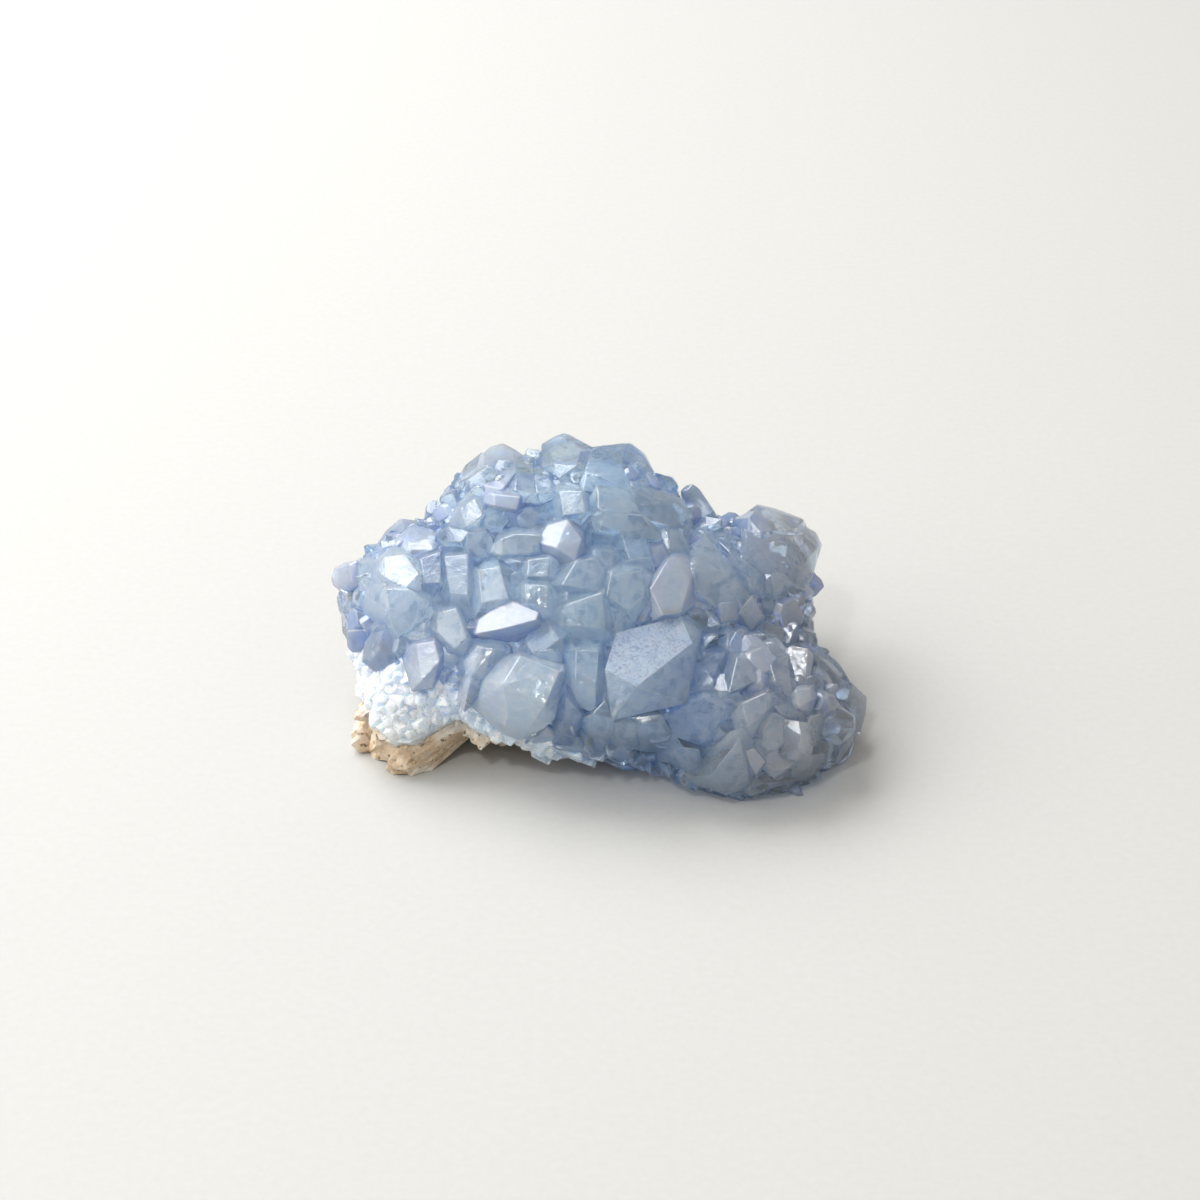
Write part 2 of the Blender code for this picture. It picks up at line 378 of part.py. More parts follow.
     ((12.2, -25.8, 2.2), (14.6, -27.1, 2.2), (13.1, -26.8, 2))),
    # Pale, over the arch
    (((-6.6, -20.6), (-4.2, -19.4), (-2.7, -21.5), (-1.8, -23.4), (-4.2, -23), (-6, -22.1)),
     ((-5.2, -20.7, 2.2), (-3.6, -21.5, 2.4), (-4.2, -22.4, 2))),
    # Pale, left of that
    (((-10.7, -20.6), (-8, -19.5), (-6, -20.6), (-5.7, -22.1), (-8.2, -22.2),
      (-10.4, -21.8)),
     ((-9.2, -20.6, 2.2), (-7.2, -20.6, 2.2), (-8, -21.6, 1.8))),
    # Between the crests
    (((-11, 17.9), (-9.8, 20.4), (-8, 20.6), (-6.6, 18.8), (-6.6, 16.1), (-8.9, 15.2)),
     ((-9.7, 19.1, 3), (-7.9, 19.4, 3), (-7.5, 16.7, 3.4), (-9.2, 16.4, 3.4))),
    # Behind the long slab
    (((7.2, 18.2), (8.9, 17.9), (11.3, 15.8), (11.3, 14.6), (8.2, 15.8), (6.6, 16.4)),
     ((8.3, 17.3, 2.2), (10.1, 15.8, 2.4), (8.3, 16.4, 2.6))),
)
OUTLINE_RISE = 1.2  # of an outline's corners from the body's skin
OUTLINE_GROWTH = 1.08  # so that neighbours run into each other
CROWN_RISE = 1.2  # share of the read rises
ROOT_DEPTH = 5  # how deep the root of a crystal is set in the body
ROOT_TAPER = 0.55
LEAST_FACING = 0.6  # limits how steeply a crystal follows skin that turns away from the viewer

# The plainer ones: across and up the picture plane, width, depth, how far it stands out, lean to
# the right and upward, turn in degrees, habit.
FRONT_CRYSTALS = (
    (-9.8, 20.6, 4.6, 4.2, 4, -0.1, 1.2, 60, "dome"),
    (9.6, 16.6, 5.0, 4.0, 4, 0.6, 0.9, 30, "dome"),
    (14.9, 13.8, 3.8, 3.4, 9, -1.0, 1.4, 10, "dome"),
    (19.4, 11.4, 4.6, 4.0, 3, 0.2, 1.1, 50, "block"),
    (-24.6, 13.2, 4.4, 4.0, 3, -0.7, 1.1, 70, "dome"),
    (-15.6, 12.0, 4.8, 4.2, 3, 0.1, 0.4, 50, "block"),
    (-10.4, 12.2, 4.8, 4.2, 3, 0.2, 0.5, 80, "dome"),
    (-14.6, 4.0, 5.2, 4.4, 3, -0.2, 0.4, 75, "dome"),
    (-26.8, -4.4, 5.2, 4.6, 4, -0.4, 0.0, 60, "block"),
    (1.6, 10.0, 3.4, 3.2, 2, 0.1, 0.6, 60, "block"),
    (31.4, 2.6, 4.6, 4.4, 3, 0.9, 0.4, 30, "dome"),
    (30.2, -1.4, 5.0, 4.4, 3, 0.8, 0.2, 60, "dome"),
    (30.8, -6.0, 5.0, 4.4, 3, 0.9, 0.1, 15, "dome"),
    (25.0, -5.4, 5.2, 5.0, 4, 0.3, 0.3, 15, "block"),
    # Lower edge, hanging over the arch
    (-1.5, -20.4, 3.6, 3.8, 4, -0.1, -1.2, 10, "wedge"),
    (1.6, -21.2, 3.6, 4.0, 4, 0.0, -1.2, 30, "peak"),
    (4.6, -22.2, 3.8, 4.0, 4, 0.1, -1.2, 15, "wedge"),
    (7.4, -23.4, 3.6, 4.2, 4, 0.0, -1.2, 5, "peak"),
    (10.6, -24.8, 4.2, 4.2, 4, 0.1, -1.1, 25, "wedge"),
    (13.6, -26.2, 4.4, 4.2, 4, 0.1, -0.9, 10, "dome"),
    (3.0, -17.6, 4.8, 4.6, 3, 0.0, -0.3, 20, "wedge"),
    (8.6, -19.4, 4.6, 5.0, 3, 0.0, -0.3, 60, "block"),
)

# The other crystals, which fill the crust between those and cover its back.
FILL_TRIES = 8000
FILL_WIDTHS = (7.2, 5.8, 4.7, 3.8, 3.1)  # tried in this order, so the large ones come first
FILL_SPACING = 0.8  # of the two crystals' mean width
FILL_MARGIN = 3  # degrees inside the crust's rim
FILL_LEAN = 0.45
FILL_HEIGHTS = (0.35, 0.7)  # how far a crystal stands out, as shares of its width
FILL_DEPTHS = (0.7, 1.0)
FILL_HABITS = ("block", "block", "wedge", "dome", "dome", "peak")
SINK_STEPS = (0, 0.9, 1.8, 2.7)  # how deep a crystal is set if it would pass the outline
FINE_WIDTHS = (3.0, 2.4)  # the fine-grained crystals of the lower left front
FINE_EDGE_ACROSS = (-38, 2)  # their upper edge on the picture plane, from left to right
FINE_EDGE_UP = -6  # at its left end
FINE_EDGE_SLOPE = -0.4
UNDERSIDE = -0.5  # crystals aren't grown where the body faces down more steeply than this
LOWEST_SEAT = 0.5
FLOOR_CLEARANCE = 0.3
FOOT_FLATNESS = 0.2
CRYSTAL_TRIANGLES = 7700  # of the crystals' outside
MATRIX_TRIANGLES = 1250


def clear_scene():
    for obj in list(bpy.data.objects):
        bpy.data.objects.remove(obj)


# Body


def outside_ellipsoid(points, middle, half):
    """About how far points are outside an ellipsoid."""
    away = points - np.array(middle, float)
    half = np.array(half, float)
    near = np.linalg.norm(away / half, axis=-1)
    steep = np.linalg.norm(away / half**2, axis=-1)
    return near * (near - 1) / np.maximum(steep, 1e-9)


def outside(points):
    """About how far points are outside the body."""
    points = np.asarray(points, float)
    total = sum(np.exp(-outside_ellipsoid(points, *swelling) / BLEND) for swelling in SWELLINGS)
    lumps = -BLEND * np.log(np.maximum(total, 1e-30))
    return np.maximum(lumps, -outside_ellipsoid(points, *ARCH))


def skin_distances(directions):
    """How far the body's skin is from the heart along each direction."""
    directions = np.asarray(directions, float)
    low = np.zeros(len(directions))
    high = np.full(len(directions), float(REACH))
    found = np.zeros(len(directions), bool)
    steps = np.linspace(0, REACH, 181)
    for near, far in zip(steps, steps[1:]):
        crossed = (outside(np.array(HEART) + directions * far) > 0) & ~found
        low[crossed] = near
        high[crossed] = far
        found |= crossed
    for _ in range(10):
        middle = (low + high) / 2
        out = outside(np.array(HEART) + directions * middle[:, None]) > 0
        high = np.where(out, middle, high)
        low = np.where(out, low, middle)
    return (low + high) / 2


def outward(point):
    """The way out of the body at a point."""
    step = 0.3
    slope = []
    for axis in np.eye(3) * step:
        slope.append(float(outside(np.array(point) + axis) - outside(np.array(point) - axis)))
    return Vector(slope).normalized()


def smooth_share(value):
    value = max(0, min(1, value))
    return value * value * (3 - 2 * value)


def rim_angle(azimuth):
    """The rim's angle at an azimuth in degrees, smooth between the named ones."""
    place = (azimuth % 360) / (360 / len(RIM))
    before = int(place) % len(RIM)
    share = smooth_share(place - int(place))
    return RIM[before] * (1 - share) + RIM[(before + 1) % len(RIM)] * share


def degrees_inside_rim(direction):
    azimuth = math.degrees(math.atan2(direction[1], direction[0]))
    height = math.degrees(math.asin(max(-1, min(1, direction[2]))))
    wave = RIM_WAVE * noise.noise(Vector(direction) * 4)
    return height - rim_angle(azimuth) - wave


def rock_roughness(point):
    lump = noise.noise(point / ROCK_LUMP_SIZE) * ROCK_LUMP
    ledge = abs(noise.noise(point / ROCK_LEDGE_SIZE + Vector((7, 0, 0)))) * ROCK_LEDGE
    return lump - ledge


def ball(detail):
    """Evenly spread directions and the faces that join them."""
    bm = bmesh.new()
    bmesh.ops.create_icosphere(bm, subdivisions=detail, radius=1)
    directions = [vert.co.normalized() for vert in bm.verts]
    faces = [[vert.index for vert in face.verts] for face in bm.faces]
    bm.free()
    return directions, faces


def rock_point(direction, distance):
    """The rock's surface along a direction, in which the body's skin is at a distance."""
    inside = degrees_inside_rim(direction)
    steepness = max(LEAST_STEEPNESS, outward(HEART + direction * distance).dot(direction))
    depth = CRUST_DEPTH * smooth_share(inside / CRUST_THINNING) / steepness
    bare = 1 - smooth_share(inside / CRUST_THINNING)
    rough = rock_roughness(HEART + direction * distance) * bare
    return distance - depth + rough


def crust_point(direction, distance):
    """The crust's outer surface, which dips under the rock below the rim."""
    inside = degrees_inside_rim(direction)
    return distance + CRUST_STEP - RIM_DIP * (1 - smooth_share(inside / RIM_WIDTH + 0.5))


def shell(name, surface, detail):
    """A closed body whose surface is told by direction, cut off flat at the floor."""
    directions, faces = ball(detail)
    distances = skin_distances([tuple(direction) for direction in directions])
    bm = bmesh.new()
    for direction, distance in zip(directions, distances):
        length = surface(direction, float(distance))
        if direction.z < 0:
            length = min(length, -HEART.z / direction.z)
        bm.verts.new(HEART + direction * length)
    bm.verts.ensure_lookup_table()
    for face in faces:
        bm.faces.new([bm.verts[index] for index in face])
    return make_object(name, bm)


def make_object(name, bm):
    """An object in metres from a bmesh in millimetres."""
    bm.transform(Matrix.Scale(MM, 4))
    mesh = bpy.data.meshes.new(name)
    bm.to_mesh(mesh)
    bm.free()
    obj = bpy.data.objects.new(name, mesh)
    bpy.context.scene.collection.objects.link(obj)
    return obj


# Crystals


def crystal_planes(habit, rng):
    """The faces of a crystal of half size 1, as directions and distances from its middle."""
    top, prism, side, front, side_slope, front_slope, corner_slope = HABITS[habit]
    across = math.cos(PRISM_ANGLE)
    along = math.sin(PRISM_ANGLE)
    low = math.sin(SLOPE_ANGLE)
    high = math.cos(SLOPE_ANGLE)
    planes = [((0, 0, 1), top), ((0, 0, -1), 1)]
    for sign in (-1, 1):
        planes.append(((sign, 0, 0), side))
        planes.append(((0, sign, 0), front))
        planes.append(((sign * low, 0, high), side_slope))
        planes.append(((0, sign * low, high), front_slope))
        for other in (-1, 1):
            planes.append(((sign * across, other * along, 0), prism))
            corner = (sign * CORNER_SLOPE[0], other * CORNER_SLOPE[1], CORNER_SLOPE[2])
            planes.append((corner, corner_slope))
    uneven = []
    for direction, distance in planes:
        if distance is None:
            continue
        wobble = Vector([rng.uniform(-UNEVEN_ANGLE, UNEVEN_ANGLE) for _ in range(3)])
        direction = (Vector(direction) + wobble).normalized()
        uneven.append((direction, distance * (1 + rng.uniform(-UNEVEN_DISTANCE, UNEVEN_DISTANCE))))
    return uneven


def corners_of(planes):
    """The corners of the convex solid that lies behind every plane."""
    directions = np.array([direction for direction, _ in planes])
    distances = np.array([distance for _, distance in planes])
    triples = np.array(list(combinations(range(len(planes)), 3)))
    systems = directions[triples]
    solvable = np.abs(np.linalg.det(systems)) > 1e-4
    points = np.linalg.solve(systems[solvable], distances[triples[solvable]][..., None])[..., 0]
    behind = (points @ directions.T <= distances + 1e-6).all(axis=1)
    return np.unique(np.round(points[behind], 5), axis=0)


def axes_along(axis, turn):
    """A frame whose third axis is the given one, turned about it by degrees."""
    frame = axis.to_track_quat("Z", "Y").to_matrix()
    return frame @ Matrix.Rotation(math.radians(turn), 3, "Z")


class Crystal:
    """One crystal: its corners, and the middle and width that keep its neighbours off."""

    def __init__(self, corners, middle, width, habit, seed):
        self.corners = corners
        self.middle = middle
        self.width = width
        self.habit = habit
        self.seed = seed


def habit_corners(middle, axis, width, depth, height, turn, habit, seed):
    """The corners of a crystal of some habit, whose showing part is at the middle."""
    root = ROOT_SHARE * (width + depth) / 2
    half_length = (height + root) / 2
    centre = middle - axis * (root / 2)
    half_sizes = (width / 2, depth / 2, half_length)
    frame = axes_along(axis, turn)
    planes = []
    for direction, distance in crystal_planes(habit, random.Random(seed)):
        # A plane of the unit crystal, stretched to size and turned into place.
        stretched = Vector([direction[i] / half_sizes[i] for i in range(3)])
        normal = frame @ (stretched / stretched.length)
        planes.append((normal, distance / stretched.length))
    planes.append((Vector((0, 0, -1)), centre.z - FLOOR_CLEARANCE))
    return [centre + Vector(corner) for corner in corners_of(planes)]


def sight_line(across, up):
    """The viewer's eye and the direction to a place on the picture plane."""
    eye = PLANE_MIDDLE + TOWARD * EYE_DISTANCE
    target = PLANE_MIDDLE + RIGHT * across + UP * up
    return eye, (target - eye).normalized()


def skin_on_sight_line(across, up):
    """Where a sight line meets the body, or its nearest point if it misses."""
    eye, direction = sight_line(across, up)
    distances = np.linspace(EYE_DISTANCE - 60, EYE_DISTANCE + 60, 481)
    depths = outside(np.array(eye) + np.array(direction) * distances[:, None])
    inside = np.nonzero(depths < 0)[0]
    chosen = inside[0] if len(inside) else int(np.argmin(depths))
    return eye + direction * float(distances[chosen]), direction


def place_of(across, up, toward):
    """The point seen at a place on the picture plane, some way from the plane to the viewer."""
    eye = PLANE_MIDDLE + TOWARD * EYE_DISTANCE
    target = PLANE_MIDDLE + RIGHT * across + UP * up
    return eye + (target - eye) * ((EYE_DISTANCE - toward) / EYE_DISTANCE)


def shaped_crystals():
    """The crystals whose outline and crown are read from the front."""
    crystals = []
    for index, (outline, crown) in enumerate(SHAPED_CRYSTALS):
        across = sum(corner[0] for corner in outline) / len(outline)
        up = sum(corner[1] for corner in outline) / len(outline)
        skin, _ = skin_on_sight_line(across, up)
        way_out = outward(skin)
        toward = (skin - PLANE_MIDDLE).dot(TOWARD)
        facing = max(LEAST_FACING, way_out.dot(TOWARD))
        fall_right = way_out.dot(RIGHT) / facing
        fall_up = way_out.dot(UP) / facing
        rises = [(x, y, rise * CROWN_RISE) for x, y, rise in crown]
        for x, y in outline:
            x = across + (x - across) * OUTLINE_GROWTH
            y = up + (y - up) * OUTLINE_GROWTH
            rises.append((x, y, OUTLINE_RISE))
        corners = []
        for corner_across, corner_up, rise in rises:
            fallen = fall_right * (corner_across - across) + fall_up * (corner_up - up)
            corners.append(place_of(corner_across, corner_up, toward - fallen + rise))
        for corner in corners[-len(outline) :]:
            corners.append(skin + (corner - skin) * ROOT_TAPER - way_out * ROOT_DEPTH)
        for corner in corners:
            corner.z = max(corner.z, FLOOR_CLEARANCE)
        size = sum(math.dist(corner, (across, up)) for corner in outline) / len(outline) * 2
        crystals.append(Crystal(corners, skin, size, "shaped", SHAPED_SEED + index))
    return crystals


def on_picture_plane(point):
    """Across and up, as the viewer sees a point."""
    away = point - PLANE_MIDDLE - TOWARD * EYE_DISTANCE
    scale = -EYE_DISTANCE / away.dot(TOWARD)
    return away.dot(RIGHT) * scale, away.dot(UP) * scale


def within_outline(point):
    across, up = on_picture_plane(point)
    crossings = 0
    for (x1, y1), (x2, y2) in zip(FRONT_OUTLINE, FRONT_OUTLINE[1:] + FRONT_OUTLINE[:1]):
        if (y1 > up) != (y2 > up) and across < x1 + (up - y1) * (x2 - x1) / (y2 - y1):
            crossings += 1
    return crossings % 2 == 1


def front_crystals():
    crystals = []
    for index, row in enumerate(FRONT_CRYSTALS):
        across, up, width, depth, height, lean_right, lean_up, turn, habit = row
        axis = (TOWARD + RIGHT * lean_right + UP * lean_up).normalized()
        skin, sight = skin_on_sight_line(across, up)
        middle = skin - sight * (height / 2 * max(0, -axis.dot(sight)))
        seed = SEED + index
        corners = habit_corners(middle, axis, width, depth, height, turn, habit, seed)
        crystals.append(Crystal(corners, middle, width, habit, seed))
    return crystals


def fine_grained(place):
    """Whether a place is on the lower left front, where all crystals are small."""
    across, up = on_picture_plane(place)
    upper_edge = FINE_EDGE_UP + FINE_EDGE_SLOPE * (across - FINE_EDGE_ACROSS[0])
    return place.y < 0 and across < FINE_EDGE_ACROSS[1] and up < upper_edge


def fill_crystals(placed):
    """Crystals of falling size in the spaces that are left on the crust."""
    rng = random.Random(SEED)
    directions = []
    for _ in range(FILL_TRIES):
        direction = Vector([rng.gauss(0, 1) for _ in range(3)]).normalized()
        if degrees_inside_rim(direction) > FILL_MARGIN:
            directions.append(direction)
    distances = skin_distances([tuple(direction) for direction in directions])
    seats = [HEART + way * float(length) for way, length in zip(directions, distances)]
    middles = np.array([crystal.middle for crystal in placed])
    widths = np.array([crystal.width for crystal in placed])
    crystals = []
    for width in FILL_WIDTHS + FINE_WIDTHS:
        for seat in seats:
            if seat.z < LOWEST_SEAT or fine_grained(seat) != (width in FINE_WIDTHS):
                continue
            room = np.linalg.norm(middles - np.array(seat), axis=1)
            if (room < FILL_SPACING * (widths + width) / 2).any():
                continue
            way_out = outward(seat)
            if way_out.z < UNDERSIDE:
                continue
            lean = Vector([rng.uniform(-FILL_LEAN, FILL_LEAN) for _ in range(3)])
            axis = (way_out + lean).normalized()
            height = width * rng.uniform(*FILL_HEIGHTS)
            depth = width * rng.uniform(*FILL_DEPTHS)
            habit = rng.choice(FILL_HABITS)
            turn = rng.uniform(0, 180)
            seed = rng.randrange(10**6)
            for sunk in SINK_STEPS:
                middle = seat + axis * (height / 2) - way_out * sunk
                corners = habit_corners(middle, axis, width, depth, height, turn, habit, seed)
                if all(within_outline(corner) for corner in corners):
                    crystals.append(Crystal(corners, middle, width, habit, seed))
                    middles = np.vstack([middles, seat])
                    widths = np.append(widths, width)
                    break
    return crystals


def crystal_object(name, crystal):
    bm = bmesh.new()
    for corner in crystal.corners:
        bm.verts.new(corner)
    hull = bmesh.ops.convex_hull(bm, input=bm.verts)
    loose = [item for item in hull["geom_interior"] if isinstance(item, bmesh.types.BMVert)]
    bmesh.ops.delete(bm, geom=loose, context="VERTS")
    bmesh.ops.dissolve_limit(bm, angle_limit=math.radians(1), verts=bm.verts, edges=bm.edges)
    bmesh.ops.recalc_face_normals(bm, faces=bm.faces)
    return make_object(name, bm)


# Joining


def hide_helper(obj):
    obj.hide_render = True
    obj.display_type = "WIRE"


def apply_boolean(obj, operation, others):
    """Join or cut with every one of the other objects, then drop them."""
    helpers = bpy.data.collections.new(operation)
    bpy.context.scene.collection.children.link(helpers)
    for other in others:
        helpers.objects.link(other)
        hide_helper(other)
    modifier = obj.modifiers.new(operation, "BOOLEAN")
    modifier.operation = operation
    modifier.operand_type = "COLLECTION"
    modifier.collection = helpers
    modifier.solver = "EXACT"
    modifier.use_self = len(others) > 1
    graph = bpy.context.evaluated_depsgraph_get()
    joined = bpy.data.meshes.new_from_object(obj.evaluated_get(graph))
    obj.modifiers.clear()
    obj.data = joined
    for other in others:
        bpy.data.objects.remove(other)
    bpy.data.collections.remove(helpers)


def islands_of(bm):
    """The mesh's separate surfaces, as lists of faces."""
    left = set(bm.faces)
    islands = []
    while left:
        start = left.pop()
        island = [start]
        stack = [start]
        while stack:
            for edge in stack.pop().edges:
                for face in edge.link_faces:
                    if face in left:
                        left.remove(face)
                        island.append(face)
                        stack.append(face)
        islands.append(island)
    return islands


def tidy(obj):
    """Merge points that meet, and keep the one large surface without sealed pockets or shards."""
    bm = bmesh.new()
    bm.from_mesh(obj.data)
    bmesh.ops.remove_doubles(bm, verts=bm.verts, dist=0.002 * MM)
    bmesh.ops.dissolve_degenerate(bm, edges=bm.edges, dist=0.001 * MM)
    islands = sorted(islands_of(bm), key=len)
    for island in islands[:-1]:
        bmesh.ops.delete(bm, geom=island, context="FACES")
    bmesh.ops.delete(bm, geom=[vert for vert in bm.verts if not vert.link_faces], context="VERTS")
    bmesh.ops.triangulate(bm, faces=bm.faces)
    bmesh.ops.recalc_face_normals(bm, faces=bm.faces)
    bm.to_mesh(obj.data)
    bm.free()


def lighten(obj, triangles):
    """Drop the points that matter least to the shape, and set its feet flat on the floor again."""
    modifier = obj.modifiers.new("lighten", "DECIMATE")
    modifier.ratio = min(1, triangles / len(obj.data.polygons))
    graph = bpy.context.evaluated_depsgraph_get()
    lightened = bpy.data.meshes.new_from_object(obj.evaluated_get(graph))
    obj.modifiers.clear()
    obj.data = lightened
    for vert in obj.data.vertices:
        if vert.co.z < FOOT_FLATNESS * MM:
            vert.co.z = 0


# Materials


def principled(name, colour, roughness):
    """A plain surface colour, not metal."""
    material = bpy.data.materials.new(name)
    material.use_nodes = True
    shader = material.node_tree.nodes["Principled BSDF"]
    shader.inputs["Base Color"].default_value = (*colour, 1)
    shader.inputs["Roughness"].default_value = roughness
    shader.inputs["Metallic"].default_value = 0
    return material


def build_matrix():
    rock = shell("matrix", rock_point, 5)
    lighten(rock, MATRIX_TRIANGLES)
    rock.data.materials.append(principled("matrix_rock", (0.52, 0.45, 0.36), 0.9))
    return rock


def space_for(rock):
    """The rock grown all round by the gap, and a little further through the floor."""
    space = bpy.data.objects.new("rock_space", rock.data.copy())
    bpy.context.scene.collection.objects.link(space)
    for vert in space.data.vertices:
        on_floor = vert.co.z < 0.01 * MM
        way = vert.co / MM - HEART
        vert.co = (HEART + way + way.normalized() * GAP) * MM
        if on_floor:
            vert.co.z -= GAP * MM
    return space


def build_crystals(rock):
    crust = shell("crystals", crust_point, 4)
    placed = shaped_crystals() + front_crystals()
    placed += fill_crystals(placed)
    grown = []
    for index, crystal in enumerate(placed):
        grown.append(crystal_object(f"crystal_{index:03d}", crystal))
    apply_boolean(crust, "UNION", grown)
    tidy(crust)
    lighten(crust, CRYSTAL_TRIANGLES)
    apply_boolean(crust, "DIFFERENCE", [space_for(rock)])
    tidy(crust)
    crust.data.materials.clear()
    crust.data.materials.append(principled("celestite", (0.62, 0.74, 0.86), 0.2))
    return crust


def move_to_origin(objects):
    for obj in objects:
        obj.data.transform(Matrix.Translation(-BASE_MIDDLE * MM))


def main():
    clear_scene()
    rock = build_matrix()
    crust = build_crystals(rock)
    move_to_origin([rock, crust])


main()
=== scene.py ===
"""Looks of a celestite cluster: bevelled, see-through crystals fused over a broken rock.

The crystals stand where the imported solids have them, with softer edges and many small ones
between. Lengths are in millimetres until a mesh is made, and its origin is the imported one.
"""

import json
import math
import random
from itertools import combinations

import bmesh
import bpy
import numpy as np
from mathutils import Matrix, Vector, noise

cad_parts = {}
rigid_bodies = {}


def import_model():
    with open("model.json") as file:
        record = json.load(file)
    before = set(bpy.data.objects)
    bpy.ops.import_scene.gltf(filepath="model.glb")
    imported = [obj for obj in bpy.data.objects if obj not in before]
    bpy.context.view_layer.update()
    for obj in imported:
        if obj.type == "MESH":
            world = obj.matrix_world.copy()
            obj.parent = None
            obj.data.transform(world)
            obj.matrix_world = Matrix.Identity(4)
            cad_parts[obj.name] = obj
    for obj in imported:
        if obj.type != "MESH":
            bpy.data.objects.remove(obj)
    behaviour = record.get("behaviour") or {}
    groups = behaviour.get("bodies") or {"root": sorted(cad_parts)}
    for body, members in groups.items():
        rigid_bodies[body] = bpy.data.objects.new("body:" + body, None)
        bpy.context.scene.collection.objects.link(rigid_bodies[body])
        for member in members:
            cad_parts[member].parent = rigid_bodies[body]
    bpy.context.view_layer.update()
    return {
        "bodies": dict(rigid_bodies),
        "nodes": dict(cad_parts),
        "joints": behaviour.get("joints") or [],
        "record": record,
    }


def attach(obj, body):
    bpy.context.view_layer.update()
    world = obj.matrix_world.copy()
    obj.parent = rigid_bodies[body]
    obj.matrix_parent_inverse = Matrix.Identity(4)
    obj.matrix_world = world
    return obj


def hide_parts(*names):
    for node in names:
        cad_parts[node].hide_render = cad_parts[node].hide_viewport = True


MM = 0.001
SEED = 11
SHAPED_SEED = 1011
SMALL_SEED = 12
DRUSE_SEED = 13
LOBE_SEED = 14

# Body: the swellings under the crystals, each a middle and its half sizes.
SWELLINGS = (
    ((-3, 2, 15), (27, 18, 13)),
    ((-14, 8, 22), (11, 10, 11)),
    ((0, 8, 23), (12, 10, 12)),
    ((-28, 2, 15), (8.5, 11, 10)),
    ((-28, -13.2, 3), (7.2, 8.4, 11)),
    ((-21, -11, 10), (9, 8, 7)),
    ((21, 7, 14), (10.5, 11, 9)),
    ((21, -15, 5), (14, 13, 10)),
    ((-28, -4, 9), (7, 9, 9)),
    ((30.5, -11, 6), (5, 8, 8)),
    ((26, -2, 5), (5, 9, 8)),
    ((1, -13, 10), (24, 12, 9)),
    ((2, 14, 8), (22, 10, 9)),
)
BLEND = 1.6  # how softly the swellings run together
ARCH = ((-4, -20, -5), (14, 16, 8.5))  # the hollow under the front edge
HEART = Vector((0, 2, 15))  # the inner point that every part of the body faces
REACH = 60  # further from the heart than any part of the body
BASE_MIDDLE = Vector((-0.3, -4.3, 0))  # moved to the origin at the end

# Crust: its lower rim, as degrees above or below the heart, every 45 degrees from the right round
# by the back, the left and the front.
RIM = (-30, -6, 4, -2, -12, -15, -36, -36)
RIM_WAVE = 6
CRUST_DEPTH = 4.5
CRUST_STEP = 0.9  # how far the crust stands out from the rock at its rim
CRUST_THINNING = 14  # degrees over which the crust thins to its rim
RIM_WIDTH = 6  # degrees over which the crust's outside dips under the rock
RIM_DIP = 4
LEAST_STEEPNESS = 0.4  # of the body's skin to a ray from the heart, where the crust's depth counts
# Small broken faces of the crust between the crystals and of the rock: size, tilt and step.
CRUST_FACES = (2.3, 0.9, 1.3)
ROCK_FACES = (3.2, 1.1, 1.5)
CELL_SHUFFLE = 37
CONTACT = 0.3  # how far the crust's inside is set into the rock

# Rock: broken lumps, ledges and grains.
ROCK_LUMP = 1.8
ROCK_LUMP_SIZE = 8
ROCK_LEDGE = 1.4
ROCK_LEDGE_SIZE = 3
ROCK_GRAIN = 0.4
ROCK_GRAIN_SIZE = 1.4

# Crystals are placed on a picture plane that faces a viewer who looks down on the specimen.
EYE_HEIGHT = math.radians(32)
EYE_DISTANCE = 425
VIEW_WIDTH = 178.84  # of the picture plane that the camera sees
PLANE_MIDDLE = Vector((0, -2, 18))
RIGHT = Vector((1, 0, 0))
UP = Vector((0, math.sin(EYE_HEIGHT), math.cos(EYE_HEIGHT)))
TOWARD = Vector((0, -math.cos(EYE_HEIGHT), math.sin(EYE_HEIGHT)))

# The specimen's outline on the picture plane, across and up, which the fill stays within.
FRONT_OUTLINE = (
    (-40.2, 2.2), (-39.8, 4.6), (-38.0, 5.8), (-35.0, 6.6), (-32.8, 6.8), (-32.0, 9.8),
    (-30.4, 11.6), (-29.0, 12.3), (-26.2, 12.3), (-25.4, 14.4), (-22.0, 17.8), (-19.4, 21.0),
    (-17.2, 22.8), (-15.2, 23.3), (-13.2, 22.9), (-12.0, 21.8), (-10.4, 22.2), (-9.0, 23.4),
    (-5.2, 24.7), (-2.0, 22.8), (0.0, 23.1), (4.2, 23.4), (6.0, 22.4), (8.0, 19.0),
    (9.8, 17.6), (11.2, 15.8), (12.4, 17.3), (14.2, 16.4), (16.8, 13.8), (20.8, 12.0),
    (23.4, 14.2), (29.8, 12.5), (32.0, 10.5), (33.0, 8.2), (31.8, 5.6), (32.8, 3.0),
    (31.8, 0.4), (32.4, -2.2), (32.0, -3.8), (34.0, -9.6), (36.6, -11.6), (39.0, -13.4),
    (39.8, -15.0), (38.2, -20.2), (36.4, -25.0), (32.4, -25.2), (29.0, -27.6), (25.4, -29.8),
    (21.6, -29.4), (14.8, -28.4), (9.8, -26.6), (3.8, -25.4), (0.6, -23.6), (-1.4, -24.2),
    (-3.4, -22.8), (-6.0, -22.2), (-10.8, -22.6), (-16.4, -21.4), (-23.8, -23.4), (-30.2, -25.0),
    (-34.4, -22.2), (-35.8, -20.2), (-36.4, -16.8), (-35.8, -15.0), (-36.4, -12.0),
    (-37.4, -8.2), (-39.2, -3.0),
)

